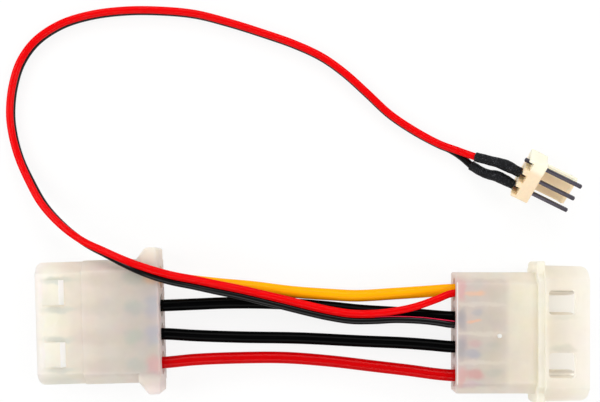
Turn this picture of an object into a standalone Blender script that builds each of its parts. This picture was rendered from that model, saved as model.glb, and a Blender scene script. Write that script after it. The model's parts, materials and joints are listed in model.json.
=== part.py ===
"""Fan adapter cable: a pass-through power lead that branches to a three-pin fan header.

A four-way socket housing with finger ears and a four-way pin housing with a shroud are joined by
four power wires. A pair of thin leads branches off at the pin housing and ends in a three-pin header.
Lengths are in metres. The part lies on Z = 0, with +X from the socket end to the pin end.
"""

import math

import bmesh
import bpy
from mathutils import Matrix, Vector

MM = 0.001

# Circuits, in order from +Y to -Y
CIRCUITS = ("12v", "ground_a", "ground_b", "5v")
PITCH = 5.08 * MM
FREE_SPAN = 51.9 * MM
AXIS_OFFSET = 2.17 * MM
SOCKET_TURN = math.radians(1.7)

# Wires and leads
WIRE_DIAMETER = 2.1 * MM
WIRE_COPPER = 1.2 * MM
LEAD_DIAMETER = 1.3 * MM
LEAD_COPPER = 0.5 * MM
LEAD_GAP = 0.1 * MM
STRIP_STEP = 0.05 * MM

# Clearances
CAVITY_CLEARANCE = 0.1 * MM
CRIMP_CLEARANCE = 0.1 * MM
PIN_SEAT_CLEARANCE = 0.1 * MM

# Both housings
BODY_THICKNESS = 8.2 * MM
BODY_CHAMFER = 2.0 * MM
EDGE_ROUND = 0.3 * MM
REAR_BORE = 4.2 * MM
LEAD_IN = 0.45 * MM
SIDE_INSET = 0.1 * MM

# Socket housing
SOCKET_LENGTH = 21.6 * MM
SOCKET_WIDTH = 21.9 * MM
MATING_LENGTH = 8.3 * MM
MATING_STEP = 0.15 * MM
MATING_CORNER = 0.9 * MM
EAR_REACH = 1.95 * MM
EAR_FLAT = 2.2 * MM
EAR_SLOPE = 1.75 * MM
LATCH_SPACING = 10.9 * MM
LATCH_WIDTH = 4.4 * MM
LATCH_HEIGHT = 0.75 * MM
LATCH_RAMP = 3.1 * MM
LATCH_CATCH = 0.85 * MM
LATCH_SETBACK = 1.2 * MM
SOCKET_ENTRY_BORE = 2.6 * MM
SOCKET_ENTRY_DEPTH = 1.5 * MM

# Pin housing
BLOCK_LENGTH = 13.9 * MM
BLOCK_WIDTH = 21.3 * MM
LUG_LENGTH = 1.5 * MM
LUG_REACH = 1.95 * MM
LUG_ROUND = 0.6 * MM
COLLAR_STEP = 0.45 * MM
SHROUD_LENGTH = 7.4 * MM
SHROUD_WALL = 0.95 * MM
SHROUD_SIDE_GAP = 0.15 * MM
SHROUD_TOP_GAP = 0.55 * MM
SHROUD_DRAFT = 0.2 * MM
SHROUD_CORNER = 1.2 * MM
SHROUD_FLOOR = 0.7 * MM
WINDOW_LENGTH = 4.6 * MM
WINDOW_WIDTH = 4.4 * MM
WINDOW_ROUND = 0.7 * MM
WINDOW_SETBACK = 4.8 * MM

# Crimped terminals: depths run inwards from the housing's wire-end face
SHEET = 0.25 * MM
WIRE_CRIMP_START = 8.7 * MM
INSULATION_END = 5.1 * MM
INSULATION_CRIMP = (3.2 * MM, 5.0 * MM)
WIRE_CRIMP = (6.1 * MM, 8.8 * MM)
SHOULDER = (9.7 * MM, 10.4 * MM)
SHOULDER_DIAMETER = REAR_BORE - 3 * CAVITY_CLEARANCE
SHOULDER_SLOPE = 0.5 * MM
BARREL_TIP_SETBACK = 2.0 * MM
PIN_DIAMETER = 2.13 * MM
PIN_TIP_SETBACK = 1.3 * MM
PIN_NOSE = 1.7 * MM
PIN_TIP_DIAMETER = 0.9 * MM
BARREL_CLEARANCE = 0.05 * MM
SEAM = math.radians(10)
SLOT = math.radians(22)
CRIMP_MOUTH = math.radians(84)
NECK_MOUTH = math.radians(150)

# Where the shared cavities of the pin housing hold the power wire and the thin lead, across and up
SHARED_WIRE = {"12v": (-0.10 * MM, -0.60 * MM), "ground_a": (0.15 * MM, -0.55 * MM)}
SHARED_LEAD = {"12v": (-0.70 * MM, 1.13 * MM), "ground_a": (-1.10 * MM, 0.80 * MM)}

# Fan header, in its own frame: +X out along the pins, +Y towards the sense pin, +Z to the front
HEADER_PITCH = 2.54 * MM
HEADER_WIDTH = 7.7 * MM
HEADER_BASE = 3.3 * MM
HEADER_FRONT = 2.5 * MM
HEADER_BACK = 3.3 * MM
HEADER_ROUND = 0.2 * MM
WALL_WIDTH = 5.2 * MM
WALL_LENGTH = 6.5 * MM
WALL_THICKNESS = 1.0 * MM
WALL_HOOK = 0.35 * MM
NOTCH_WIDTH = 1.5 * MM
NOTCH_DEPTH = 0.9 * MM
POST_WIDTH = 0.64 * MM
POST_LENGTH = 7.3 * MM
POST_CHAMFER = 0.18 * MM
POST_CLEARANCE = 0.06 * MM
TAIL_LENGTH = 3.2 * MM
SHORT_TAIL_LENGTH = 0.6 * MM
HEADER_HEADING = math.radians(-26.2)
HEADER_ROLL = math.radians(29)
HEADER_LIFT = 0.05 * MM
HEADER_PLACE = (40.51 * MM, 25.69 * MM)
HEADER_PINS = {"sense": 1, "supply": 0, "ground": -1}

# Heat-shrink sleeves
SLEEVE_WALL = 0.12 * MM
SLEEVE_CLEARANCE = 0.1 * MM
SLEEVE_LUMP = 0.15 * MM
LUMP_PLACE = 0.7
LUMP_SPREAD = 0.2
SLEEVE_END_GAP = 0.15 * MM
SLEEVE_GRIP = 3.2 * MM
JOINT_OFFSET = 0.66 * MM
SLEEVE_OFFSET = 0.2 * MM

# Route points of the cords, chosen by hand, in millimetres
WIRE_ROUTES = {
    "12v": [(-21.3, 7.9, 3.8), (-16.0, 7.3, 3.4), (-10.4, 6.8, 3.2), (-3.1, 5.9, 3.1), (3.9, 5.4, 3.3),
            (8.4, 5.2, 3.4), (15.2, 5.6, 3.9), (21.0, 6.0, 4.4)],
    "ground_a": [(-20.6, 3.7, 3.7), (-15.2, 3.9, 3.3), (-8.6, 3.9, 3.1), (-1.8, 3.6, 3.1), (3.6, 3.15, 3.0),
                 (9.0, 2.6, 3.3), (17.0, 2.1, 3.8), (21.5, 1.7, 4.4)],
    "ground_b": [(-20.6, -1.9, 3.8), (-12.5, -2.2, 3.4), (-1.8, -2.4, 3.2), (9.0, -2.9, 3.6),
                 (16.9, -3.2, 4.3), (21.5, -3.5, 4.95)],
    "5v": [(-20.6, -6.2, 3.8), (-12.5, -5.9, 3.4), (-4.5, -5.9, 3.2), (3.6, -6.5, 3.3), (11.6, -7.4, 3.8),
           (18.0, -8.1, 4.5), (22.0, -8.6, 5.1)],
}

# The bonded pair: middle of the pair, and how far its web leans over from upright, in degrees
PAIR_ROUTE = [
    (11.5, 1.5, 5.7, 68), (7.4, 1.5, 5.35, 70), (3.4, 2.1, 5.15, 70), (-0.2, 2.9, 5.1, 70),
    (-4.6, 4.0, 5.15, 70), (-8.7, 5.0, 5.4, 68), (-12.5, 5.9, 5.9, 66), (-16.3, 6.7, 6.75, 64),
    (-20.3, 7.6, 7.9, 60), (-24.2, 8.4, 9.0, 55), (-27.9, 9.5, 9.6, 47), (-31.8, 11.0, 9.4, 32),
    (-35.9, 12.9, 8.4, 18), (-39.7, 14.7, 7.0, 8), (-43.9, 17.6, 5.1, 0), (-47.8, 21.5, 3.35, -4),
    (-50.5, 25.8, 2.15, -4), (-52.6, 30.2, 1.55, 0), (-53.8, 34.5, 1.37, 0), (-54.2, 38.3, 1.37, 0),
    (-53.7, 43.2, 1.37, 0), (-52.3, 47.5, 1.37, 0), (-49.6, 51.2, 1.37, 0), (-45.1, 54.2, 1.37, 0),
    (-39.7, 55.9, 1.37, 0), (-33.4, 56.7, 1.37, 0), (-27.1, 56.7, 1.37, 0), (-20.8, 56.1, 1.37, 0),
    (-14.8, 54.6, 1.37, 0), (-8.7, 52.7, 1.37, 0), (-2.7, 50.6, 1.37, 0), (2.2, 48.3, 1.37, 0),
    (6.3, 45.4, 1.37, 0), (10.3, 41.8, 1.37, 0), (14.4, 38.0, 1.37, 0), (19.0, 34.9, 1.37, 0),
    (23.5, 32.5, 1.4, 0),
]
LEAD_SPLIT = {
    "red": [(22.4, 4.7, 6.75), (18.7, 3.4, 6.7), (15.1, 2.6, 6.4)],
    "black": [(22.4, 0.6, 6.2), (19.6, 0.9, 6.1), (15.1, 1.05, 5.75)],
}
LEAD_FORK = {
    "red": [(26.5, 31.4, 2.2), (28.2, 30.75, 2.35)],
    "black": [(25.4, 31.7, 0.7), (27.4, 30.4, 0.9)],
}
SLEEVE_ROUTES = {
    "red": [(29.8, 30.15, 2.7), (32.3, 29.35, 3.85)],
    "black": [(29.2, 28.75, 1.25), (31.5, 27.25, 2.4)],
}
LEAD_PINS = {"red": "supply", "black": "ground"}
LEAD_CIRCUITS = {"red": "12v", "black": "ground_a"}

# Colour, roughness and metallic of each material
NYLON = ("natural_nylon", (0.80, 0.76, 0.68), 0.38, 0.0)
TIN = ("tinned_brass", (0.62, 0.60, 0.55), 0.32, 1.0)
YELLOW_PVC = ("yellow_pvc", (1.0, 0.45, 0.005), 0.42, 0.0)
BLACK_PVC = ("black_pvc", (0.012, 0.012, 0.012), 0.42, 0.0)
RED_PVC = ("red_pvc", (0.68, 0.004, 0.006), 0.40, 0.0)
HEAT_SHRINK = ("heat_shrink", (0.018, 0.018, 0.02), 0.55, 0.0)
IVORY_NYLON = ("ivory_nylon", (0.90, 0.76, 0.52), 0.45, 0.0)
POST_STEEL = ("tinned_post", (0.28, 0.27, 0.30), 0.35, 1.0)


# Scene and object helpers

def clear_scene():
    for item in list(bpy.data.objects):
        bpy.data.objects.remove(item, do_unlink=True)


def new_collection(name):
    collection = bpy.data.collections.new(name)
    bpy.context.scene.collection.children.link(collection)
    return collection


def material(settings):
    name, colour, roughness, metallic = settings
    found = bpy.data.materials.get(name)
    if found:
        return found
    made = bpy.data.materials.new(name)
    made.use_nodes = True
    shader = made.node_tree.nodes["Principled BSDF"]
    shader.inputs["Base Color"].default_value = (*colour, 1.0)
    shader.inputs["Roughness"].default_value = roughness
    shader.inputs["Metallic"].default_value = metallic
    made.diffuse_color = (*colour, 1.0)
    return made


def empty(name, matrix):
    frame = bpy.data.objects.new(name, None)
    PARTS.objects.link(frame)
    frame.matrix_world = matrix
    bpy.context.view_layer.update()
    return frame


def piece(name, mesh, frame=None, settings=None):
    """Adds a named sub-part, with its mesh in the frame of the given empty."""
    item = bpy.data.objects.new(name, mesh)
    PARTS.objects.link(item)
    item.parent = frame
    mesh.materials.clear()
    mesh.materials.append(material(settings))
    return item


def tool(name, mesh, frame=None):
    """Adds a shape that is only joined to or cut from a sub-part."""
    item = bpy.data.objects.new(name, mesh)
    TOOLS.objects.link(item)
    item.parent = frame
    item.hide_render = True
    item.display_type = "WIRE"
    return item


def combine(target, shape, operation):
    step = target.modifiers.new(f"{operation.lower()}_{shape.name}", "BOOLEAN")
    step.operation = operation
    step.solver = "EXACT"
    step.object = shape


def round_edges(item, width, segments=2):
    """Rounds sharp edges, and leaves flat triangles that join and cut cleanly."""
    bevel = item.modifiers.new("rounded_edges", "BEVEL")
    bevel.width = width
    bevel.segments = segments
    bevel.limit_method = "ANGLE"
    bevel.angle_limit = math.radians(30)
    item.modifiers.new("flat_triangles", "TRIANGULATE")


def shade_round(mesh, degrees=35):
    mesh.shade_smooth()
    mesh.set_sharp_from_angle(angle=math.radians(degrees))


def mesh_from_curve(curve, placed=Matrix.Identity(4), flat_faces=False):
    """Turns a curve into a welded mesh, placed in its owner's frame, each flat face in one piece."""
    holder = bpy.data.objects.new(f"{curve.name}_curve", curve)
    TOOLS.objects.link(holder)
    holder.matrix_world = placed
    bpy.context.view_layer.update()
    evaluated = holder.evaluated_get(bpy.context.evaluated_depsgraph_get())
    mesh = bpy.data.meshes.new_from_object(evaluated)
    mesh.transform(holder.matrix_world)
    bpy.data.objects.remove(holder, do_unlink=True)
    bpy.data.curves.remove(curve)
    body = bmesh.new()
    body.from_mesh(mesh)
    bmesh.ops.remove_doubles(body, verts=body.verts, dist=0.001 * MM)
    if flat_faces:
        bmesh.ops.dissolve_limit(body, angle_limit=math.radians(1), verts=body.verts, edges=body.edges)
    body.to_mesh(mesh)
    body.free()
    return mesh


# Shapes

ALONG_X = Matrix(((0, 0, 1, 0), (1, 0, 0, 0), (0, 1, 0, 0), (0, 0, 0, 1)))
ALONG_Y = Matrix(((1, 0, 0, 0), (0, 0, -1, 0), (0, 1, 0, 0), (0, 0, 0, 1)))


def prism(name, outline, low, high, axis="Z"):
    """Extrudes a flat outline from low to high: (y, z) along X, (x, z) along Y or (x, y) along Z."""
    curve = bpy.data.curves.new(name, "CURVE")
    curve.dimensions = "2D"
    curve.fill_mode = "BOTH"
    curve.extrude = (high - low) / 2
    spline = curve.splines.new("POLY")
    spline.points.add(len(outline) - 1)
    for point, (a, b) in zip(spline.points, outline):
        point.co = (a, b, 0, 1)
    spline.use_cyclic_u = True
    middle = (low + high) / 2
    placed = {
        "X": Matrix.Translation((middle, 0, 0)) @ ALONG_X,
        "Y": Matrix.Translation((0, middle, 0)) @ ALONG_Y,
        "Z": Matrix.Translation((0, 0, middle)),
    }[axis]
    mesh = mesh_from_curve(curve, placed, flat_faces=True)
    mesh.shade_flat()
    return mesh


def arc(centre, radius, start, end, steps=4):
    """Points of an arc, with angles in degrees."""
    turns = [math.radians(start + (end - start) * k / steps) for k in range(steps + 1)]
    return [(centre[0] + radius * math.cos(t), centre[1] + radius * math.sin(t)) for t in turns]


def rounded_rectangle(centre, length, width, radius):
    x, y = centre
    a, b = length / 2 - radius, width / 2 - radius
    corners = [(x + a, y + b, 0), (x - a, y + b, 90), (x - a, y - b, 180), (x + a, y - b, 270)]
    return [point for cx, cy, turn in corners for point in arc((cx, cy), radius, turn, turn + 90)]


def keyed_section(width, low, high, chamfer):
    """Cross-section of a housing: a rectangle whose two front corners are cut off."""
    half = width / 2
    return [(-half, low), (half, low), (half, high - chamfer), (half - chamfer, high),
            (chamfer - half, high), (-half, high - chamfer)]


def turned_bore(name, profile, place, frame):
    """A turned cutter along +X from a profile of (depth, diameter) steps."""
    mesh = bpy.data.meshes.new(name)
    rings = [(diameter / 2, 0, depth) for depth, diameter in reversed(profile)]
    points = [(0, 0, profile[-1][0]), *rings, (0, 0, profile[0][0])]
    mesh.from_pydata(points, [(k, k + 1) for k in range(len(points) - 1)], [])
    cutter = tool(name, mesh, frame)
    cutter.location = place
    cutter.rotation_euler = (0, math.pi / 2, 0)
    screw = cutter.modifiers.new("turned", "SCREW")
    screw.steps = screw.render_steps = 24
    screw.use_merge_vertices = True
    screw.merge_threshold = 0.001 * MM
    screw.use_smooth_shade = False
    return cutter


def smooth_route(points, spacing):
    """Even points on a centripetal Catmull-Rom curve through the route's own points."""
    points = [Vector(point) for point in points]
    ends = [2 * points[0] - points[1], *points, 2 * points[-1] - points[-2]]
    fine = []
    for p0, p1, p2, p3 in zip(ends, ends[1:], ends[2:], ends[3:]):
        t1 = (p1 - p0).length ** 0.5
        t2 = t1 + (p2 - p1).length ** 0.5
        t3 = t2 + (p3 - p2).length ** 0.5
        for step in range(16):
            t = t1 + (t2 - t1) * step / 16
            a1 = p0.lerp(p1, t / t1)
            a2 = p1.lerp(p2, (t - t1) / (t2 - t1))
            a3 = p2.lerp(p3, (t - t2) / (t3 - t2))
            b1 = a1.lerp(a2, t / t2)
            b2 = a2.lerp(a3, (t - t1) / (t3 - t1))
            fine.append(b1.lerp(b2, (t - t1) / (t2 - t1)))
    fine.append(points[-1].copy())
    return even_points(fine, spacing)


def even_points(fine, spacing):
    """Points at even distances along a fine polyline, with both of its ends kept."""
    reach = [0.0]
    for a, b in zip(fine, fine[1:]):
        reach.append(reach[-1] + (b - a).length)
    count = max(2, round(reach[-1] / spacing))
    picked, here = [], 0
    for k in range(count + 1):
        want = reach[-1] * k / count
        while here < len(reach) - 2 and reach[here + 1] < want:
            here += 1
        share = (want - reach[here]) / max(reach[here + 1] - reach[here], 1e-9)
        picked.append(fine[here].lerp(fine[here + 1], share))
    return picked


def tube_curve(name, path, radius, resolution=2, caps=True):
    """A round tube along a path of (point, share of the radius)."""
    curve = bpy.data.curves.new(name, "CURVE")
    curve.dimensions = "3D"
    curve.bevel_depth = radius
    curve.bevel_resolution = resolution
    curve.use_fill_caps = caps
    spline = curve.splines.new("POLY")
    spline.points.add(len(path) - 1)
    for point, (place, share) in zip(spline.points, path):
        point.co = (*place, 1)
        point.radius = share
    return curve


def cord(name, path, diameter, settings):
    """A wire as a plain tube, with its stripped ends turned down to the copper."""
    item = bpy.data.objects.new(name, tube_curve(name, path, diameter / 2))
    PARTS.objects.link(item)
    item.data.materials.append(material(settings))
    return item


def stripped(bare, covered, copper_share, bare_end):
    """Joins bare copper points to a covered route at one or both ends."""
    path = [(point, copper_share) for point in bare]
    path += [(point, 1.0) for point in covered]
    path += [(point, copper_share) for point in bare_end]
    return path


def in_millimetres(points):
    return [Vector(point) * MM for point in points]


# Where the two housings stand

EAR_HALF = SOCKET_WIDTH / 2 + EAR_REACH
LUG_HALF = BLOCK_WIDTH / 2 + LUG_REACH
SHROUD_INSIDE = (SOCKET_WIDTH - 2 * MATING_STEP + 2 * SHROUD_SIDE_GAP,
                 BODY_THICKNESS - 2 * MATING_STEP + 2 * SHROUD_TOP_GAP)
SHROUD_WIDTH = SHROUD_INSIDE[0] + 2 * SHROUD_WALL
SHROUD_THICKNESS = SHROUD_INSIDE[1] + 2 * SHROUD_WALL
PIN_HOUSING_LENGTH = BLOCK_LENGTH + LUG_LENGTH + SHROUD_LENGTH
SOCKET_REACH = SOCKET_LENGTH * math.cos(SOCKET_TURN) + SOCKET_WIDTH / 2 * math.sin(SOCKET_TURN)
HALF_LENGTH = (SOCKET_REACH + FREE_SPAN + PIN_HOUSING_LENGTH) / 2
SOCKET_Y = (LUG_HALF - EAR_HALF * math.cos(SOCKET_TURN) + AXIS_OFFSET) / 2
SOCKET_AXIS_HEIGHT = BODY_THICKNESS / 2
PIN_AXIS_HEIGHT = SHROUD_THICKNESS / 2

SOCKET_FRAME = (Matrix.Translation((SOCKET_REACH - HALF_LENGTH, SOCKET_Y, 0))
                @ Matrix.Rotation(math.pi + SOCKET_TURN, 4, "Z"))
PIN_FRAME = Matrix.Translation((HALF_LENGTH - PIN_HOUSING_LENGTH, SOCKET_Y - AXIS_OFFSET, 0))


def circuit_y(circuit):
    """Distance of a circuit from the middle of its housing, towards +Y of the part."""
    return (1.5 - CIRCUITS.index(circuit)) * PITCH


def socket_point(circuit, depth, across=0.0, up=0.0):
    """A point in a cavity of the socket housing, at a depth from its wire-end face."""
    return SOCKET_FRAME @ Vector((depth, -circuit_y(circuit) - across, SOCKET_AXIS_HEIGHT + up))


def pin_point(circuit, depth, across=0.0, up=0.0):
    """A point in a cavity of the pin housing, at a depth from its wire-end face."""
    return PIN_FRAME @ Vector((depth, circuit_y(circuit) + across, PIN_AXIS_HEIGHT + up))


# Housings

def socket_housing(frame):
    half = SOCKET_WIDTH / 2
    mating_start = SOCKET_LENGTH - MATING_LENGTH
    rear = prism("socket_rear", keyed_section(SOCKET_WIDTH, 0, BODY_THICKNESS, BODY_CHAMFER),
                 0, mating_start + EDGE_ROUND, "X")
    housing = piece("socket_housing", rear, frame, NYLON)
    round_edges(housing, EDGE_ROUND)

    # The mating end is a little smaller, and its corners are rounded in plan
    section = keyed_section(SOCKET_WIDTH - 2 * MATING_STEP, MATING_STEP, BODY_THICKNESS - MATING_STEP,
                            BODY_CHAMFER)
    mating = tool("socket_mating_end", prism("socket_mating_end", section, mating_start - MATING_CORNER,
                                             SOCKET_LENGTH, "X"), frame)
    edge = half - MATING_STEP
    turn = SOCKET_LENGTH - MATING_CORNER
    plan = [(0, -edge), *arc((turn, MATING_CORNER - edge), MATING_CORNER, -90, 0),
            *arc((turn, edge - MATING_CORNER), MATING_CORNER, 0, 90), (0, edge)]
    plan_shape = tool("socket_mating_plan", prism("socket_mating_plan", plan, -MATING_STEP,
                                                  BODY_THICKNESS + MATING_STEP), frame)
    combine(mating, plan_shape, "INTERSECT")
    combine(housing, mating, "UNION")

    ear_end = EAR_FLAT + EAR_SLOPE
    ears = [(SIDE_INSET, -EAR_HALF), (EAR_FLAT, -EAR_HALF), (ear_end, -half + EDGE_ROUND),
            (ear_end, half - EDGE_ROUND), (EAR_FLAT, EAR_HALF), (SIDE_INSET, EAR_HALF)]
    ear_shape = tool("finger_ears", prism("finger_ears", ears, SIDE_INSET, BODY_THICKNESS - SIDE_INSET),
                     frame)
    round_edges(ear_shape, EDGE_ROUND)
    combine(housing, ear_shape, "UNION")

    # Latch ramps rise from the mating end and drop at a steep catch
    top = BODY_THICKNESS - MATING_STEP
    start = SOCKET_LENGTH - LATCH_SETBACK
    ramp = [(start, top - EDGE_ROUND), (start, top), (start - LATCH_RAMP, top + LATCH_HEIGHT),
            (start - LATCH_RAMP - LATCH_CATCH, top), (start - LATCH_RAMP - LATCH_CATCH, top - EDGE_ROUND)]
    for side in (-1, 1):
        middle = side * LATCH_SPACING / 2
        latch = tool(f"latch_ramp_{side}", prism(f"latch_ramp_{side}", ramp, middle - LATCH_WIDTH / 2,
                                                 middle + LATCH_WIDTH / 2, "Y"), frame)
        combine(housing, latch, "UNION")

    barrel_bore = PIN_DIAMETER + 2 * BARREL_CLEARANCE + 2 * SHEET + 4 * CAVITY_CLEARANCE
    entry = SOCKET_LENGTH - SOCKET_ENTRY_DEPTH
    step = SHOULDER[1] + CAVITY_CLEARANCE
    over = EDGE_ROUND
    profile = [(-over, REAR_BORE), (step, REAR_BORE), (step + SHOULDER_SLOPE, barrel_bore), (entry, barrel_bore),
               (entry, SOCKET_ENTRY_BORE), (SOCKET_LENGTH - LEAD_IN, SOCKET_ENTRY_BORE),
               (SOCKET_LENGTH + over, SOCKET_ENTRY_BORE + 2 * LEAD_IN + 2 * over)]
    for circuit in CIRCUITS:
        place = (0, -circuit_y(circuit), SOCKET_AXIS_HEIGHT)
        combine(housing, turned_bore(f"socket_bore_{circuit}", profile, place, frame), "DIFFERENCE")
    return housing


def pin_housing(frame):
    low = PIN_AXIS_HEIGHT - BODY_THICKNESS / 2
    high = low + BODY_THICKNESS
    lug_end = BLOCK_LENGTH + LUG_LENGTH
    mouth = PIN_HOUSING_LENGTH
    block = prism("pin_block", keyed_section(BLOCK_WIDTH, low, high, BODY_CHAMFER), 0,
                  BLOCK_LENGTH + LUG_LENGTH / 2, "X")
    housing = piece("pin_housing", block, frame, NYLON)
    round_edges(housing, EDGE_ROUND)

    # Collar between the block and the shroud
    section = keyed_section(SHROUD_WIDTH - 2 * COLLAR_STEP, COLLAR_STEP, SHROUD_THICKNESS - COLLAR_STEP,
                            BODY_CHAMFER + SHROUD_WALL / 4)
    collar = tool("collar", prism("collar", section, BLOCK_LENGTH + SIDE_INSET, lug_end - SIDE_INSET, "X"), frame)
    combine(housing, collar, "UNION")

    # Shroud: a keyed tube whose sides draw in towards the mouth, with rounded mouth corners
    section = keyed_section(SHROUD_WIDTH, 0, SHROUD_THICKNESS, BODY_CHAMFER + SHROUD_WALL / 2)
    shroud = tool("shroud", prism("shroud", section, lug_end - EDGE_ROUND, mouth, "X"), frame)
    half = SHROUD_WIDTH / 2
    tip = half - SHROUD_DRAFT
    plan = [(0, -half), (BLOCK_LENGTH, -half),
            *arc((mouth - SHROUD_CORNER, SHROUD_CORNER - tip), SHROUD_CORNER, -90, 0),
            *arc((mouth - SHROUD_CORNER, tip - SHROUD_CORNER), SHROUD_CORNER, 0, 90),
            (BLOCK_LENGTH, half), (0, half)]
    plan_shape = tool("shroud_plan", prism("shroud_plan", plan, -EDGE_ROUND,
                                           SHROUD_THICKNESS + EDGE_ROUND), frame)
    combine(shroud, plan_shape, "INTERSECT")
    combine(housing, shroud, "UNION")

    lugs = [(lug_end, LUG_HALF), *arc((BLOCK_LENGTH + LUG_ROUND, LUG_HALF - LUG_ROUND), LUG_ROUND, 90, 180),
            *arc((BLOCK_LENGTH + LUG_ROUND, LUG_ROUND - LUG_HALF), LUG_ROUND, 180, 270),
            (lug_end, -LUG_HALF)]
    lug_shape = tool("side_lugs", prism("side_lugs", lugs, low + SIDE_INSET, high - SIDE_INSET), frame)
    round_edges(lug_shape, EDGE_ROUND)
    combine(housing, lug_shape, "UNION")

    floor = BLOCK_LENGTH + SHROUD_FLOOR
    inside = keyed_section(SHROUD_INSIDE[0], SHROUD_WALL, SHROUD_THICKNESS - SHROUD_WALL, BODY_CHAMFER)
    cavity = tool("shroud_cavity", prism("shroud_cavity", inside, floor, mouth + EDGE_ROUND, "X"), frame)
    combine(housing, cavity, "DIFFERENCE")

    for side in (-1, 1):
        centre = (mouth - WINDOW_SETBACK, side * LATCH_SPACING / 2)
        outline = rounded_rectangle(centre, WINDOW_LENGTH, WINDOW_WIDTH, WINDOW_ROUND)
        window = tool(f"latch_window_{side}", prism(f"latch_window_{side}", outline, PIN_AXIS_HEIGHT,
                                                    SHROUD_THICKNESS + EDGE_ROUND), frame)
        combine(housing, window, "DIFFERENCE")

    pin_bore = PIN_DIAMETER + 2 * CAVITY_CLEARANCE
    step = SHOULDER[1] + CAVITY_CLEARANCE
    profile = [(-EDGE_ROUND, REAR_BORE), (step, REAR_BORE), (step + SHOULDER_SLOPE, pin_bore),
               (floor + EDGE_ROUND, pin_bore)]
    for circuit in CIRCUITS:
        place = (0, circuit_y(circuit), PIN_AXIS_HEIGHT)
        combine(housing, turned_bore(f"pin_bore_{circuit}", profile, place, frame), "DIFFERENCE")
    return housing


# Terminals, each rolled from one sheet

def rolled_sheet(name, stations, place, lean, frame):
    """A sheet rolled round an axis along +X: stations of (depth, outer diameter, mouth, across, up)."""
    segments = 12
    body = bmesh.new()
    rows = []
    for depth, diameter, mouth, across, up in stations:
        radius = diameter / 2 - SHEET / 2
        first = math.pi / 2 + lean + mouth / 2
        sweep = 2 * math.pi - mouth
        turns = [first + sweep * k / segments for k in range(segments + 1)]
        rows.append([body.verts.new((depth, across + radius * math.cos(t), up + radius * math.sin(t)))
                     for t in turns])
    for near, far in zip(rows, rows[1:]):
        for k in range(segments):
            body.faces.new((near[k], near[k + 1], far[k + 1], far[k]))
    bmesh.ops.recalc_face_normals(body, faces=body.faces)
    mesh = bpy.data.meshes.new(name)
    body.to_mesh(mesh)
    body.free()
    terminal = piece(name, mesh, frame, TIN)
    terminal.location = place
    wall = terminal.modifiers.new("sheet", "SOLIDIFY")
    wall.thickness = SHEET
    wall.offset = 0
    wall.use_even_offset = True
    shade_round(mesh)
    return terminal


def crimp_stations(wire_across, wire_up):
    """The wire end of a terminal: insulation crimp, neck, wire crimp and neck."""
    insulation = WIRE_DIAMETER + 2 * CRIMP_CLEARANCE + 2 * SHEET
    copper = WIRE_COPPER + 2 * CRIMP_CLEARANCE + 2 * SHEET
    gap = WIRE_CRIMP[0] - INSULATION_CRIMP[1]
    return [
        (INSULATION_CRIMP[0], insulation, CRIMP_MOUTH, wire_across, wire_up),
        (INSULATION_CRIMP[1], insulation, CRIMP_MOUTH, wire_across, wire_up),
        (INSULATION_CRIMP[1] + gap / 2, insulation, NECK_MOUTH, wire_across, wire_up),
        (WIRE_CRIMP[0], copper, CRIMP_MOUTH, wire_across, wire_up),
        (WIRE_CRIMP[1], copper, CRIMP_MOUTH, wire_across, wire_up),
    ]


def socket_terminal(circuit, frame):
    barrel = PIN_DIAMETER + 2 * BARREL_CLEARANCE + 2 * SHEET
    tip = SOCKET_LENGTH - BARREL_TIP_SETBACK
    stations = crimp_stations(0, 0) + [
        (SHOULDER[0], SHOULDER_DIAMETER, SLOT, 0, 0),
        (SHOULDER[1], SHOULDER_DIAMETER, SLOT, 0, 0),
        (SHOULDER[1] + SHOULDER_SLOPE, barrel, SLOT, 0, 0),
        ((SHOULDER[1] + tip) / 2, barrel, SLOT, 0, 0),
        (tip, barrel, SLOT, 0, 0),
    ]
    place = (0, -circuit_y(circuit), SOCKET_AXIS_HEIGHT)
    return rolled_sheet(f"socket_terminal_{circuit}", stations, place, 0, frame)


def pin_terminal(circuit, frame):
    across, up = SHARED_WIRE.get(circuit, (0, 0))
    lean = 0
    if circuit in SHARED_LEAD:
        lead_across, lead_up = SHARED_LEAD[circuit]
        lean = math.atan2(lead_up - up, lead_across - across) - math.pi / 2
    tip = PIN_HOUSING_LENGTH - PIN_TIP_SETBACK
    nose = [(0.0, 1.0), (0.35, 0.93), (0.7, 0.72), (1.0, PIN_TIP_DIAMETER / PIN_DIAMETER)]
    stations = crimp_stations(across, up) + [
        (SHOULDER[0], SHOULDER_DIAMETER, SLOT, 0, 0),
        (SHOULDER[1], SHOULDER_DIAMETER, SLOT, 0, 0),
        (SHOULDER[1] + SHOULDER_SLOPE, PIN_DIAMETER, SEAM, 0, 0),
    ]
    stations += [(tip - PIN_NOSE * (1 - share), PIN_DIAMETER * size, SEAM, 0, 0) for share, size in nose]
    place = (0, circuit_y(circuit), PIN_AXIS_HEIGHT)
    return rolled_sheet(f"pin_terminal_{circuit}", stations, place, lean, frame)


# Fan header

def header_frame():
    """Places the header so that its lowest corner lies just above the surface."""
    depth = max(HEADER_WIDTH / 2 * math.sin(HEADER_ROLL) + HEADER_BACK * math.cos(HEADER_ROLL), 0)
    return (Matrix.Translation((*HEADER_PLACE, depth + HEADER_LIFT))
            @ Matrix.Rotation(HEADER_HEADING, 4, "Z") @ Matrix.Rotation(HEADER_ROLL, 4, "X"))


def header_point(pin, along, up=0.0):
    """A point beside a header pin, along it from the base's front face."""
    return HEADER_FRAME @ Vector((along, HEADER_PINS[pin] * HEADER_PITCH, up))


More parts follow.
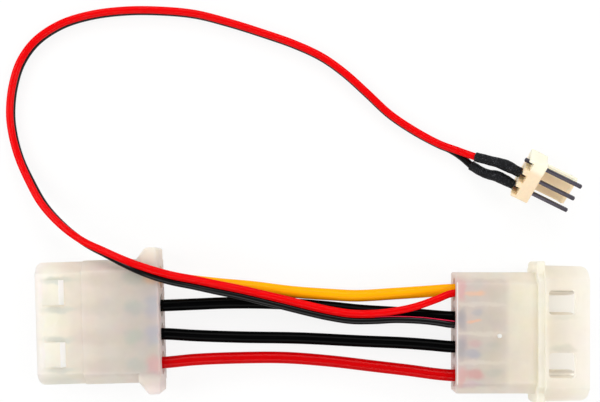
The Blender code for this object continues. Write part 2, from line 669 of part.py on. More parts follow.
def header_body(frame):
    half = HEADER_WIDTH / 2
    base = prism("header_base", [(-half, -HEADER_BACK), (half, -HEADER_BACK), (half, HEADER_FRONT),
                                 (-half, HEADER_FRONT)], -HEADER_BASE, 0, "X")
    body = piece("header_body", base, frame, IVORY_NYLON)
    round_edges(body, HEADER_ROUND)

    # Friction wall behind the pins, with a hook that grips the fan's plug
    inner = WALL_THICKNESS - HEADER_BACK
    hook = [(-HEADER_BASE / 2, -HEADER_BACK), (WALL_LENGTH, -HEADER_BACK), (WALL_LENGTH, inner),
            (WALL_LENGTH - 2 * WALL_HOOK, inner + WALL_HOOK), (WALL_LENGTH - 4 * WALL_HOOK, inner),
            (-HEADER_BASE / 2, inner)]
    wall = tool("friction_wall", prism("friction_wall", hook, -WALL_WIDTH / 2, WALL_WIDTH / 2, "Y"), frame)
    combine(body, wall, "UNION")

    # Notches round the tails, open to the front, and a square hole for each pin
    hole = POST_WIDTH / 2 + POST_CLEARANCE
    for pin, order in HEADER_PINS.items():
        middle = order * HEADER_PITCH
        notch = [(middle - NOTCH_WIDTH / 2, -NOTCH_WIDTH / 2), (middle + NOTCH_WIDTH / 2, -NOTCH_WIDTH / 2),
                 (middle + NOTCH_WIDTH / 2, HEADER_FRONT + HEADER_ROUND),
                 (middle - NOTCH_WIDTH / 2, HEADER_FRONT + HEADER_ROUND)]
        notch_shape = tool(f"notch_{pin}", prism(f"notch_{pin}", notch, -HEADER_BASE - HEADER_ROUND,
                                                 NOTCH_DEPTH - HEADER_BASE, "X"), frame)
        combine(body, notch_shape, "DIFFERENCE")
        square = [(middle - hole, -hole), (middle + hole, -hole), (middle + hole, hole), (middle - hole, hole)]
        hole_shape = tool(f"hole_{pin}", prism(f"hole_{pin}", square, -HEADER_BASE - HEADER_ROUND,
                                               HEADER_ROUND, "X"), frame)
        combine(body, hole_shape, "DIFFERENCE")
    return body


def header_post(pin, frame):
    tail = SHORT_TAIL_LENGTH if pin == "sense" else TAIL_LENGTH
    half = POST_WIDTH / 2
    middle = HEADER_PINS[pin] * HEADER_PITCH
    square = [(middle - half, -half), (middle + half, -half), (middle + half, half), (middle - half, half)]
    mesh = prism(f"post_{pin}", square, -HEADER_BASE - tail, POST_LENGTH, "X")
    post = piece(f"header_pin_{pin}", mesh, frame, POST_STEEL)

    # Only the edges round the two ends are chamfered
    body = bmesh.new()
    body.from_mesh(mesh)
    ends = [edge for edge in body.edges if abs(edge.verts[0].co.x - edge.verts[1].co.x) < 0.01 * MM]
    bmesh.ops.bevel(body, geom=ends, offset=POST_CHAMFER, segments=1, affect="EDGES")
    body.to_mesh(mesh)
    body.free()
    return post


# Cords

def power_wire(circuit, settings):
    """One of the four straight-through wires, crimped at both ends."""
    across, up = SHARED_WIRE.get(circuit, (0, 0))
    route = [socket_point(circuit, INSULATION_END), socket_point(circuit, INSULATION_END / 2),
             socket_point(circuit, -MM / 2), *in_millimetres(WIRE_ROUTES[circuit]),
             pin_point(circuit, -MM / 2, across, up), pin_point(circuit, INSULATION_END / 2, across, up),
             pin_point(circuit, INSULATION_END, across, up)]
    covered = smooth_route(route, 2.2 * WIRE_DIAMETER)
    bare = [socket_point(circuit, WIRE_CRIMP_START), socket_point(circuit, INSULATION_END + STRIP_STEP)]
    bare_end = [pin_point(circuit, INSULATION_END + STRIP_STEP, across, up),
                pin_point(circuit, WIRE_CRIMP_START, across, up)]
    colour = settings[0].split("_")[0]
    path = stripped(bare, covered, WIRE_COPPER / WIRE_DIAMETER, bare_end)
    return cord(f"wire_{circuit}_{colour}", path, WIRE_DIAMETER, settings)


def pair_places(colour):
    """Route points of one lead of the bonded pair, from the pair's middle and its lean."""
    side = 1 if colour == "red" else -1
    reach = (LEAD_DIAMETER + LEAD_GAP) / 2
    middles = in_millimetres([point[:3] for point in PAIR_ROUTE])
    places = []
    for k, middle in enumerate(middles):
        along = (middles[min(k + 1, len(middles) - 1)] - middles[max(k - 1, 0)]).normalized()
        right = Vector((along.y, -along.x, 0)).normalized()
        upright = right.cross(along)
        lean = math.radians(PAIR_ROUTE[k][3])
        places.append(middle + side * reach * (math.cos(lean) * upright + math.sin(lean) * right))
    return places


def sleeve_route(colour):
    pin = LEAD_PINS[colour]
    return [*in_millimetres(SLEEVE_ROUTES[colour]),
            header_point(pin, -HEADER_BASE - TAIL_LENGTH - SLEEVE_WALL, SLEEVE_OFFSET),
            header_point(pin, -HEADER_BASE - SLEEVE_END_GAP, SLEEVE_OFFSET)]


def fan_lead(colour, settings):
    """One thin lead, from its crimp in the pin housing to its joint on a header pin's tail."""
    circuit = LEAD_CIRCUITS[colour]
    across, up = SHARED_LEAD[circuit]
    wire = Vector((0, *SHARED_WIRE[circuit]))
    towards = (Vector((0, across, up)) - wire).normalized()
    strand = wire + towards * (WIRE_COPPER / 2 + LEAD_COPPER / 2 + CRIMP_CLEARANCE)
    start = [pin_point(circuit, INSULATION_END, across, up), pin_point(circuit, INSULATION_END / 2, across, up),
             pin_point(circuit, -MM / 2, across, up)]
    inside = smooth_route(sleeve_route(colour), LEAD_DIAMETER / 2)
    gripped = round(SLEEVE_GRIP / (LEAD_DIAMETER / 2))
    route = [*start, *in_millimetres(LEAD_SPLIT[colour]), *pair_places(colour),
             *in_millimetres(LEAD_FORK[colour]), inside[0]]
    covered = smooth_route(route, 2.1 * LEAD_DIAMETER) + inside[1:gripped + 1]
    bare = [pin_point(circuit, WIRE_CRIMP_START, strand.y, strand.z),
            pin_point(circuit, WIRE_CRIMP[0] + 3 * STRIP_STEP, strand.y, strand.z),
            pin_point(circuit, INSULATION_END + STRIP_STEP, across, up)]
    pin = LEAD_PINS[colour]
    ahead = (inside[gripped + 1] - inside[gripped]).normalized()
    bare_end = [inside[gripped] + ahead * STRIP_STEP,
                header_point(pin, -HEADER_BASE - TAIL_LENGTH - LEAD_COPPER, JOINT_OFFSET),
                header_point(pin, -HEADER_BASE - TAIL_LENGTH / 4, JOINT_OFFSET)]
    path = stripped(bare, covered, LEAD_COPPER / LEAD_DIAMETER, bare_end)
    return cord(f"fan_lead_{colour}", path, LEAD_DIAMETER, settings)


def sleeve(colour):
    """Heat-shrink tube, drawn in at both ends and swollen over the joint."""
    inner = LEAD_DIAMETER / 2 + SLEEVE_CLEARANCE
    places = smooth_route(sleeve_route(colour), LEAD_DIAMETER / 2)
    path = []
    for k, place in enumerate(places):
        share = k / (len(places) - 1)
        swell = SLEEVE_LUMP * math.exp(-((share - LUMP_PLACE) / LUMP_SPREAD) ** 2)
        path.append((place, 1 + swell / inner))
    mesh = mesh_from_curve(tube_curve(f"sleeve_{colour}", path, inner, resolution=3, caps=False))
    item = piece(f"sleeve_{colour}_lead", mesh, None, HEAT_SHRINK)
    wall = item.modifiers.new("wall", "SOLIDIFY")
    wall.thickness = SLEEVE_WALL
    wall.offset = 1
    wall.use_even_offset = True
    shade_round(mesh, 60)
    return item


# Assembly

clear_scene()
PARTS = new_collection("fan_adapter_cable")
TOOLS = new_collection("joining_and_cutting_shapes")
HEADER_FRAME = header_frame()

socket_end = empty("socket_end", SOCKET_FRAME)
pin_end = empty("pin_end", PIN_FRAME)
header_end = empty("header_end", HEADER_FRAME)

socket_housing(socket_end)
pin_housing(pin_end)
WIRE_COLOURS = {"12v": YELLOW_PVC, "ground_a": BLACK_PVC, "ground_b": BLACK_PVC, "5v": RED_PVC}
for wire_circuit, wire_colour in WIRE_COLOURS.items():
    socket_terminal(wire_circuit, socket_end)
    pin_terminal(wire_circuit, pin_end)
    power_wire(wire_circuit, wire_colour)

header_body(header_end)
for header_pin in HEADER_PINS:
    header_post(header_pin, header_end)

fan_lead("red", RED_PVC)
fan_lead("black", BLACK_PVC)
for lead_colour in LEAD_PINS:
    sleeve(lead_colour)

TOOLS.hide_render = True
bpy.context.view_layer.update()
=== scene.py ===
"""Looks of the fan adapter cable: its camera, light, materials and dressed pieces."""

import contextlib
import json
import math

import bmesh
import bpy
from mathutils import Matrix, Vector

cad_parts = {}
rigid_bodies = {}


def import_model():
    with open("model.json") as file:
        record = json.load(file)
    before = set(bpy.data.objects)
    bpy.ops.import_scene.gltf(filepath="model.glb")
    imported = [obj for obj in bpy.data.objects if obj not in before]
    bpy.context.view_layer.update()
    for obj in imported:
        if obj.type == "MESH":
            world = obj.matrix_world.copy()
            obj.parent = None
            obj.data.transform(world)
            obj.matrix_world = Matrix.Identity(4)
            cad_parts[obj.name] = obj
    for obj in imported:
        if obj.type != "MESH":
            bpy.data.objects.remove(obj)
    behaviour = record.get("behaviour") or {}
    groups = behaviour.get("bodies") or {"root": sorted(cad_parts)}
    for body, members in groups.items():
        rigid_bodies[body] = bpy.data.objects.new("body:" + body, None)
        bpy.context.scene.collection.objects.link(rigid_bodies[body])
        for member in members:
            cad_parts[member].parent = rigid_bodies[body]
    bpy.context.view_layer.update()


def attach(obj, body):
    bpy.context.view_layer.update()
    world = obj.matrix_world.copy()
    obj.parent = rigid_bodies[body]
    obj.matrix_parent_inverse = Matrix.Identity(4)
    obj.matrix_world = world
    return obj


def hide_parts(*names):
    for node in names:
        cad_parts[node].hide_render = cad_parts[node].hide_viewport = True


MM = 0.001
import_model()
scene = bpy.context.scene
scene.view_settings.view_transform = "Standard"


# Sizes, as the solids have them

CIRCUITS = ("12v", "ground_a", "ground_b", "5v")
PITCH = 5.08 * MM
FREE_SPAN = 51.9 * MM
AXIS_OFFSET = 2.17 * MM
SOCKET_TURN = math.radians(1.7)

WIRE_DIAMETER = 2.1 * MM
WIRE_COPPER = 1.2 * MM
LEAD_DIAMETER = 1.3 * MM
LEAD_COPPER = 0.5 * MM
LEAD_GAP = 0.1 * MM
WEB_THICKNESS = 0.4 * MM
SLIVER_THICKNESS = 0.18 * MM
STRIP_STEP = 0.05 * MM
CUT_LIP = 0.06 * MM
CAVITY_CLEARANCE = 0.1 * MM
CRIMP_CLEARANCE = 0.1 * MM

BODY_THICKNESS = 8.2 * MM
BODY_CHAMFER = 2.0 * MM
EDGE_ROUND = 0.3 * MM
REAR_BORE = 4.2 * MM
LEAD_IN = 0.45 * MM
SIDE_INSET = 0.1 * MM

SOCKET_LENGTH = 21.6 * MM
SOCKET_WIDTH = 21.9 * MM
MATING_LENGTH = 8.3 * MM
MATING_STEP = 0.15 * MM
MATING_CORNER = 0.9 * MM
EAR_REACH = 1.95 * MM
EAR_FLAT = 2.2 * MM
EAR_SLOPE = 1.75 * MM
EAR_ROUND = 0.45 * MM
LATCH_SPACING = 10.9 * MM
LATCH_WIDTH = 4.4 * MM
LATCH_HEIGHT = 0.75 * MM
LATCH_RAMP = 3.1 * MM
LATCH_CATCH = 0.85 * MM
LATCH_SETBACK = 1.2 * MM
LATCH_ROUND = 0.06 * MM
SOCKET_ENTRY_BORE = 2.6 * MM
SOCKET_ENTRY_DEPTH = 1.5 * MM

BLOCK_LENGTH = 13.9 * MM
BLOCK_WIDTH = 21.3 * MM
LUG_LENGTH = 1.5 * MM
LUG_REACH = 1.95 * MM
LUG_ROUND = 0.6 * MM
COLLAR_STEP = 0.45 * MM
SHROUD_LENGTH = 7.4 * MM
SHROUD_WALL = 0.95 * MM
SHROUD_SIDE_GAP = 0.15 * MM
SHROUD_TOP_GAP = 0.55 * MM
SHROUD_DRAFT = 0.2 * MM
SHROUD_CORNER = 1.2 * MM
SHROUD_FLOOR = 0.7 * MM
WINDOW_LENGTH = 4.6 * MM
WINDOW_WIDTH = 4.4 * MM
WINDOW_ROUND = 0.7 * MM
WINDOW_SETBACK = 4.8 * MM
GATE_PLACE = (7.4 * MM, -0.4 * MM)
GATE_DIAMETER = 0.8 * MM
GATE_HEIGHT = 0.25 * MM

SHEET = 0.25 * MM
WIRE_CRIMP_START = 8.7 * MM
INSULATION_END = 5.1 * MM
INSULATION_CRIMP = (3.2 * MM, 5.0 * MM)
WIRE_CRIMP = (6.1 * MM, 8.8 * MM)
SHOULDER = (9.7 * MM, 10.4 * MM)
SHOULDER_DIAMETER = REAR_BORE - 3 * CAVITY_CLEARANCE
SHOULDER_SLOPE = 0.5 * MM
BARREL_TIP_SETBACK = 2.0 * MM
PIN_DIAMETER = 2.13 * MM
PIN_TIP_SETBACK = 1.3 * MM
PIN_NOSE = 1.7 * MM
PIN_TIP_DIAMETER = 0.9 * MM
BARREL_CLEARANCE = 0.05 * MM
SEAM = math.radians(2)  # as a rolled pin closes: the solids keep it at 10 degrees, so that it stays open
SLOT = math.radians(22)
CRIMP_MOUTH = math.radians(84)
NECK_MOUTH = math.radians(150)

SHARED_WIRE = {"12v": (-0.10 * MM, -0.60 * MM), "ground_a": (0.15 * MM, -0.55 * MM)}
SHARED_LEAD = {"12v": (-0.70 * MM, 1.13 * MM), "ground_a": (-1.10 * MM, 0.80 * MM)}

HEADER_PITCH = 2.54 * MM
HEADER_WIDTH = 7.7 * MM
HEADER_BASE = 3.3 * MM
HEADER_FRONT = 2.5 * MM
HEADER_BACK = 3.3 * MM
HEADER_ROUND = 0.2 * MM
WALL_WIDTH = 5.2 * MM
WALL_LENGTH = 6.5 * MM
WALL_THICKNESS = 1.0 * MM
WALL_HOOK = 0.35 * MM
WALL_ROUND = 0.1 * MM
NOTCH_WIDTH = 1.5 * MM
NOTCH_DEPTH = 0.9 * MM
POST_WIDTH = 0.64 * MM
POST_LENGTH = 7.3 * MM
POST_CHAMFER = 0.18 * MM
POST_ROUND = 0.05 * MM
POST_CLEARANCE = 0.06 * MM
TAIL_LENGTH = 3.2 * MM
SHORT_TAIL_LENGTH = 0.6 * MM
HEADER_HEADING = math.radians(-26.2)
HEADER_ROLL = math.radians(29)
HEADER_LIFT = 0.05 * MM
HEADER_PLACE = (40.51 * MM, 25.69 * MM)
HEADER_PINS = {"sense": 1, "supply": 0, "ground": -1}

SLEEVE_WALL = 0.12 * MM
SLEEVE_CLEARANCE = 0.1 * MM
SLEEVE_LUMP = 0.15 * MM
LUMP_PLACE = 0.7
LUMP_SPREAD = 0.2
LUMP_HEIGHT = 0.16 * MM
LUMP_SIZE = 0.9 * MM
SLEEVE_END_GAP = 0.15 * MM
SLEEVE_GRIP = 3.2 * MM
JOINT_OFFSET = 0.66 * MM
SLEEVE_OFFSET = 0.2 * MM

# Route points of the cords, in metres
WIRE_ROUTES = {
    "12v": [(-.0213, .0079, .0038), (-.0160, .0073, .0034), (-.0104, .0068, .0032), (-.0031, .0059, .0031),
            (.0039, .0054, .0033), (.0084, .0052, .0034), (.0152, .0056, .0039), (.0210, .0060, .0044)],
    "ground_a": [(-.0206, .0037, .0037), (-.0152, .0039, .0033), (-.0086, .0039, .0031),
                 (-.0018, .0036, .0031), (.0036, .00315, .0030), (.0090, .0026, .0033),
                 (.0170, .0021, .0038), (.0215, .0017, .0044)],
    "ground_b": [(-.0206, -.0019, .0038), (-.0125, -.0022, .0034), (-.0018, -.0024, .0032),
                 (.0090, -.0029, .0036), (.0169, -.0032, .0043), (.0215, -.0035, .00495)],
    "5v": [(-.0206, -.0062, .0038), (-.0125, -.0059, .0034), (-.0045, -.0059, .0032),
           (.0036, -.0065, .0033), (.0116, -.0074, .0038), (.0180, -.0081, .0045), (.0220, -.0086, .0051)],
}
PAIR_ROUTE = [
    (.0115, .0015, .0057, 68), (.0074, .0015, .00535, 70), (.0034, .0021, .00515, 70),
    (-.0002, .0029, .0051, 70), (-.0046, .0040, .00515, 70), (-.0087, .0050, .0054, 68),
    (-.0125, .0059, .0059, 66), (-.0163, .0067, .00675, 64), (-.0203, .0076, .0079, 60),
    (-.0242, .0084, .0090, 55), (-.0279, .0095, .0096, 47), (-.0318, .0110, .0094, 32),
    (-.0359, .0129, .0084, 18), (-.0397, .0147, .0070, 8), (-.0439, .0176, .0051, 0),
    (-.0478, .0215, .00335, -4), (-.0505, .0258, .00215, -4), (-.0526, .0302, .00155, 0),
    (-.0538, .0345, .00137, 0), (-.0542, .0383, .00137, 0), (-.0537, .0432, .00137, 0),
    (-.0523, .0475, .00137, 0), (-.0496, .0512, .00137, 0), (-.0451, .0542, .00137, 0),
    (-.0397, .0559, .00137, 0), (-.0334, .0567, .00137, 0), (-.0271, .0567, .00137, 0),
    (-.0208, .0561, .00137, 0), (-.0148, .0546, .00137, 0), (-.0087, .0527, .00137, 0),
    (-.0027, .0506, .00137, 0), (.0022, .0483, .00137, 0), (.0063, .0454, .00137, 0),
    (.0103, .0418, .00137, 0), (.0144, .0380, .00137, 0), (.0190, .0349, .00137, 0),
    (.0235, .0325, .0014, 0),
]
LEAD_SPLIT = {
    "red": [(.0224, .0047, .00675), (.0187, .0034, .0067), (.0151, .0026, .0064)],
    "black": [(.0224, .0006, .0062), (.0196, .0009, .0061), (.0151, .00105, .00575)],
}
LEAD_FORK = {
    "red": [(.0265, .0314, .0022), (.0282, .03075, .00235)],
    "black": [(.0254, .0317, .0007), (.0274, .0304, .0009)],
}
SLEEVE_ROUTES = {
    "red": [(.0298, .03015, .0027), (.0323, .02935, .00385)],
    "black": [(.0292, .02875, .00125), (.0315, .02725, .0024)],
}
TORN_WEB = [(.0151, .00160, .0061), (.0196, .00145, .0064), (.0224, .00115, .00655), (.0255, .00080, .0067)]
LEAD_PINS = {"red": "supply", "black": "ground"}
LEAD_CIRCUITS = {"red": "12v", "black": "ground_a"}

EAR_HALF = SOCKET_WIDTH / 2 + EAR_REACH
LUG_HALF = BLOCK_WIDTH / 2 + LUG_REACH
SHROUD_INSIDE = (SOCKET_WIDTH - 2 * MATING_STEP + 2 * SHROUD_SIDE_GAP,
                 BODY_THICKNESS - 2 * MATING_STEP + 2 * SHROUD_TOP_GAP)
SHROUD_WIDTH = SHROUD_INSIDE[0] + 2 * SHROUD_WALL
SHROUD_THICKNESS = SHROUD_INSIDE[1] + 2 * SHROUD_WALL
PIN_HOUSING_LENGTH = BLOCK_LENGTH + LUG_LENGTH + SHROUD_LENGTH
SOCKET_REACH = SOCKET_LENGTH * math.cos(SOCKET_TURN) + SOCKET_WIDTH / 2 * math.sin(SOCKET_TURN)
HALF_LENGTH = (SOCKET_REACH + FREE_SPAN + PIN_HOUSING_LENGTH) / 2
SOCKET_Y = (LUG_HALF - EAR_HALF * math.cos(SOCKET_TURN) + AXIS_OFFSET) / 2
SOCKET_AXIS_HEIGHT = BODY_THICKNESS / 2
PIN_AXIS_HEIGHT = SHROUD_THICKNESS / 2

SOCKET_PLACE = Vector((SOCKET_REACH - HALF_LENGTH, SOCKET_Y, 0))
PIN_PLACE = Vector((HALF_LENGTH - PIN_HOUSING_LENGTH, SOCKET_Y - AXIS_OFFSET, 0))
SOCKET_FRAME = Matrix.Translation(SOCKET_PLACE) @ Matrix.Rotation(math.pi + SOCKET_TURN, 4, "Z")
PIN_FRAME = Matrix.Translation(PIN_PLACE)
HEADER_HEIGHT = (HEADER_WIDTH / 2 * math.sin(HEADER_ROLL) + HEADER_BACK * math.cos(HEADER_ROLL)
                 + HEADER_LIFT)
HEADER_FRAME = (Matrix.Translation((*HEADER_PLACE, HEADER_HEIGHT))
                @ Matrix.Rotation(HEADER_HEADING, 4, "Z") @ Matrix.Rotation(HEADER_ROLL, 4, "X"))


def circuit_y(circuit):
    return (1.5 - CIRCUITS.index(circuit)) * PITCH


def socket_point(circuit, depth, across=0.0, up=0.0):
    return SOCKET_FRAME @ Vector((depth, -circuit_y(circuit) - across, SOCKET_AXIS_HEIGHT + up))


def pin_point(circuit, depth, across=0.0, up=0.0):
    return PIN_FRAME @ Vector((depth, circuit_y(circuit) + across, PIN_AXIS_HEIGHT + up))


def header_point(pin, along, up=0.0):
    return HEADER_FRAME @ Vector((along, HEADER_PINS[pin] * HEADER_PITCH, up))


# Camera: straight above, as far off as the housings' visible side faces say

CAMERA_HEIGHT = 200 * MM
FOCAL_PIXELS = 1097
PHOTO = (600, 402)
STRAIGHT_DOWN = (310, 270)
ABOVE = (0.0, 9.82 * MM)

lens = bpy.data.cameras.new("photo_camera")
camera = bpy.data.objects.new("photo_camera", lens)
scene.collection.objects.link(camera)
scene.camera = camera
lens.sensor_width = 36
lens.lens = FOCAL_PIXELS / PHOTO[0] * lens.sensor_width
lens.shift_x = (PHOTO[0] / 2 - STRAIGHT_DOWN[0]) / PHOTO[0]
lens.shift_y = (STRAIGHT_DOWN[1] - PHOTO[1] / 2) / PHOTO[0]
lens.clip_start, lens.clip_end = 0.01, 10
camera.location = (*ABOVE, CAMERA_HEIGHT)


# Light

LIT_POINT = Vector((0, 0.02, 0))


def area_light(name, place, size, watts):
    lamp = bpy.data.lights.new(name, "AREA")
    lamp.shape = "RECTANGLE"
    lamp.size, lamp.size_y = size
    lamp.energy = watts
    holder = bpy.data.objects.new(name, lamp)
    holder.location = place
    holder.rotation_euler = (LIT_POINT - Vector(place)).to_track_quat("-Z", "Y").to_euler()
    scene.collection.objects.link(holder)


area_light("left_softbox", (-0.42, 0.10, 0.34), (0.35, 0.5), 1.5)
area_light("right_softbox", (0.42, 0.06, 0.34), (0.35, 0.5), 1.35)
area_light("back_softbox", (0.0, 0.46, 0.36), (0.6, 0.3), 1.5)
area_light("front_softbox", (0.0, -0.42, 0.36), (0.6, 0.3), 1.3)


# Materials

PAPER_GLOW = 0.85
PAPER_WIDTH = 1.1
PAPER_GAP = 0.02 * MM
ROOM_LIGHT = 0.32
FAR = 20 * MM
PAINTED_PATCH_WAVER = 1.4 * MM
THICK_PASSES = 0.36
THIN_PASSES = 0.74
WARM_LIGHT = (1, 0.985, 0.96, 1)


def linear(code):
    """Linear colour of an sRGB hex value."""
    parts = [int(code[k:k + 2], 16) / 255 for k in (0, 2, 4)]
    return tuple(p / 12.92 if p <= 0.04045 else ((p + 0.055) / 1.055) ** 2.4 for p in parts) + (1.0,)


def add(tree, kind, inputs=None, **settings):
    """Adds a node with its settings, and its inputs as values or links, by name or number."""
    made = tree.nodes.new(kind)
    for name, value in settings.items():
        setattr(made, name, value)
    for name, value in (inputs or {}).items():
        if isinstance(value, bpy.types.NodeSocket):
            tree.links.new(value, made.inputs[name])
        else:
            made.inputs[name].default_value = value
    return made


def out(tree, kind, inputs=None, output=0, **settings):
    """One output of a node that is added, by name or number."""
    return add(tree, kind, inputs, **settings).outputs[output]


def new_material(name, **constants):
    """A Principled material whose constants sit on the shader's own sockets."""
    made = bpy.data.materials.new(name)
    made.use_nodes = True
    shader = made.node_tree.nodes["Principled BSDF"]
    for socket, value in constants.items():
        shader.inputs[socket.replace("_", " ")].default_value = value
    return made, made.node_tree, shader


def math_node(tree, operation, *values):
    return out(tree, "ShaderNodeMath", dict(enumerate(values)), operation=operation)


def vector_node(tree, operation, inputs, output=0):
    return out(tree, "ShaderNodeVectorMath", inputs, output, operation=operation)


def mapping(tree, place, kind="TEXTURE", **given):
    """Coordinates seen from a frame that stands elsewhere, or stretched."""
    return out(tree, "ShaderNodeMapping", {"Vector": place, **given}, vector_type=kind)


def ranged(tree, value, low, high, to_low=0.0, to_high=1.0, curve="LINEAR"):
    """Maps low to high onto to_low to to_high, and stops at both."""
    ends = {"Value": value, "From Min": low, "From Max": high, "To Min": to_low, "To Max": to_high}
    return out(tree, "ShaderNodeMapRange", ends, "Result", interpolation_type=curve)


def window(tree, value, low, high, soft):
    """1 between low and high, with soft edges."""
    rise = ranged(tree, value, low - soft, low + soft, curve="SMOOTHSTEP")
    fall = ranged(tree, value, high - soft, high + soft, 1.0, 0.0, "SMOOTHSTEP")
    return math_node(tree, "MULTIPLY", rise, fall)


def mixed(tree, share, below, above):
    """Blend of two colours, each a socket or a colour."""
    return out(tree, "ShaderNodeMix", {"Factor": share, "A": below, "B": above}, "Result", data_type="RGBA")


def shaded(tree, colour, light):
    """A colour made lighter or darker by a factor."""
    return out(tree, "ShaderNodeHueSaturation", {"Color": colour, "Value": light})


def noise(tree, place, scale, detail, output="Fac"):
    return out(tree, "ShaderNodeTexNoise", {"Vector": place, "Scale": scale, "Detail": detail}, output)


def object_place(tree):
    return out(tree, "ShaderNodeTexCoord", output="Object")


def colour_and_bump(tree, shader, colour, height, strength, depth):
    tree.links.new(colour, shader.inputs["Base Color"])
    bump = out(tree, "ShaderNodeBump", {"Height": height, "Strength": strength, "Distance": depth})
    tree.links.new(bump, shader.inputs["Normal"])


def blend_shader(tree, share, shader, other):
    """Lets a share of another shader stand in for the material's own."""
    both = out(tree, "ShaderNodeMixShader", {0: share, 1: shader.outputs[0], 2: other})
    tree.links.new(both, tree.nodes["Material Output"].inputs["Surface"])


def pass_light(tree, shader, colour, share):
    """Lets a share of the light through the surface, tinted."""
    blend_shader(tree, share, shader, out(tree, "ShaderNodeBsdfTranslucent", {"Color": colour}))


def stage_floor():
    """A white sheet that stays white behind the part and keeps its soft shadow."""
    paper, tree, shader = new_material("matt_white_paper", Roughness=1.0, Specular_IOR_Level=0.0)
    shader.inputs["Base Color"].default_value = linear("F4F4F2")
    path = add(tree, "ShaderNodeLightPath").outputs
    seen = math_node(tree, "MAXIMUM", path["Is Camera Ray"], path["Is Glossy Ray"])
    seen = math_node(tree, "MAXIMUM", seen, path["Is Transmission Ray"])
    white = out(tree, "ShaderNodeEmission", {"Color": (1, 1, 1, 1), "Strength": 1.0})
    blend_shader(tree, math_node(tree, "MULTIPLY", seen, PAPER_GLOW), shader, white)
    mesh = bpy.data.meshes.new("floor")
    reach = PAPER_WIDTH / 2
    corners = [(-reach, -reach, 0), (reach, -reach, 0), (reach, reach, 0), (-reach, reach, 0)]
    mesh.from_pydata(corners, [], [(0, 1, 2, 3)])
    mesh.materials.append(paper)
    floor = bpy.data.objects.new("floor", mesh)
    floor.location.z = -PAPER_GAP
    scene.collection.objects.link(floor)


def white_room():
    """A dim white room that lights the part softly, and shows as plain white behind it."""
    world = bpy.data.worlds.new("white_room")
    world.use_nodes = True
    tree = world.node_tree
    seen = out(tree, "ShaderNodeLightPath", output="Is Camera Ray")
    strength = ranged(tree, seen, 0.0, 1.0, ROOM_LIGHT, 1.0)
    tree.nodes["Background"].inputs["Color"].default_value = (1, 1, 1, 1)
    tree.links.new(strength, tree.nodes["Background"].inputs["Strength"])
    scene.world = world


stage_floor()
white_room()


def depth_colours(tree, depth, stops):
    """Colours that follow each other along a depth, from (millimetres, colour) stops."""
    longest = stops[-1][0]
    ramp_node = add(tree, "ShaderNodeValToRGB", {"Fac": ranged(tree, depth, 0.0, longest * MM)})
    ramp = ramp_node.color_ramp
    for k, (stop, code) in enumerate(stops):
        element = ramp.elements[k] if k < 2 else ramp.elements.new(stop / longest)
        element.position = stop / longest
        element.color = linear(code)
    return ramp_node.outputs["Color"]


def milky_nylon(name, place, turn, painted_shade_stops, painted_light_and_shade, painted_highlights, thin_from):
    """Natural nylon, injection moulded: milky, so that the paper below tints it, and painted where what lies
    inside shows through.

    painted_shade_stops are (depth, colour) from the wire end on, in millimetres: painted shade, greyer over
    the cavities near the wire end. A painted patch is a soft patch of painted light or shade over something
    inside or on
    an edge: (depth, across, half length, half width, colour, share), in millimetres. A painted highlight is a
    near-white
    strip: (first depth, last depth, lowest, highest, across, half width). Walls are thin, and pass more
    light, after thin_from.
    """
    made, tree, shader = new_material(name, Roughness=0.4, IOR=1.53, Subsurface_Weight=0.75,
                                      Subsurface_Radius=(1.0, 0.9, 0.78), Subsurface_Scale=0.0022)
    shader.subsurface_method = "RANDOM_WALK"
    local = mapping(tree, object_place(tree), Location=place, Rotation=(0, 0, turn))
    depth, across, height = add(tree, "ShaderNodeSeparateXYZ", {0: local}).outputs

    # Painted shade: greyer towards the wire end, over the cavities and the wires in them, lighter and
    # yellower away from them
    colour = depth_colours(tree, depth, painted_shade_stops)

    # Painted patches of light and shade, with wavering outlines
    waver = noise(tree, local, 480.0, 2.0, "Color")
    centred = vector_node(tree, "SUBTRACT", {0: waver, 1: (0.5, 0.5, 0.5)})
    shift = vector_node(tree, "SCALE", {0: centred, "Scale": PAINTED_PATCH_WAVER})
    wavered = vector_node(tree, "ADD", {0: local, 1: shift})
    for middle, row, half_length, half_width, code, share in painted_light_and_shade:
        patch = mapping(tree, wavered, Location=(middle * MM, row * MM, 0),
                        Scale=(half_length * MM, half_width * MM, 1))
        reach = vector_node(tree, "LENGTH", {0: patch}, "Value")
        colour = mixed(tree, ranged(tree, reach, 1.45, 0.45, 0.0, share, "SMOOTHSTEP"), colour, linear(code))

    # Flow clouds a few millimetres wide, with faint pink, green and yellow tints
    cloud = noise(tree, local, 420.0, 4.0)
    cast = noise(tree, local, 300.0, 2.0, "Color")
    vivid = out(tree, "ShaderNodeHueSaturation", {"Color": cast, "Saturation": 1.6, "Value": 1.5})
    colour = shaded(tree, mixed(tree, 0.035, colour, vivid), ranged(tree, cloud, 0.3, 0.7, 0.97, 1.03))
    # Painted highlights: near-white strips where a face catches the light
    for first, last, lowest, highest, row, half_width in painted_highlights:
        highlight_mask = math_node(tree, "MULTIPLY", window(tree, height, lowest, highest, 0.03 * MM),
                        window(tree, across, row - half_width, row + half_width, 0.08 * MM))
        highlight_mask = math_node(tree, "MULTIPLY", window(tree, depth, first, last, 0.06 * MM), highlight_mask)
        colour = mixed(tree, highlight_mask, colour, linear("FFFEFA"))
    share = ranged(tree, depth, thin_from - MM / 2, thin_from + MM / 2, THICK_PASSES, THIN_PASSES)
    pass_light(tree, shader, mixed(tree, 0.6, colour, WARM_LIGHT), share)

    # Spark-eroded mould texture, drawn at 0.25 mm, coarser than the real one so that it shows
    colour_and_bump(tree, shader, colour, noise(tree, local, 4000.0, 2.0), 0.12, 0.02 * MM)
    return made


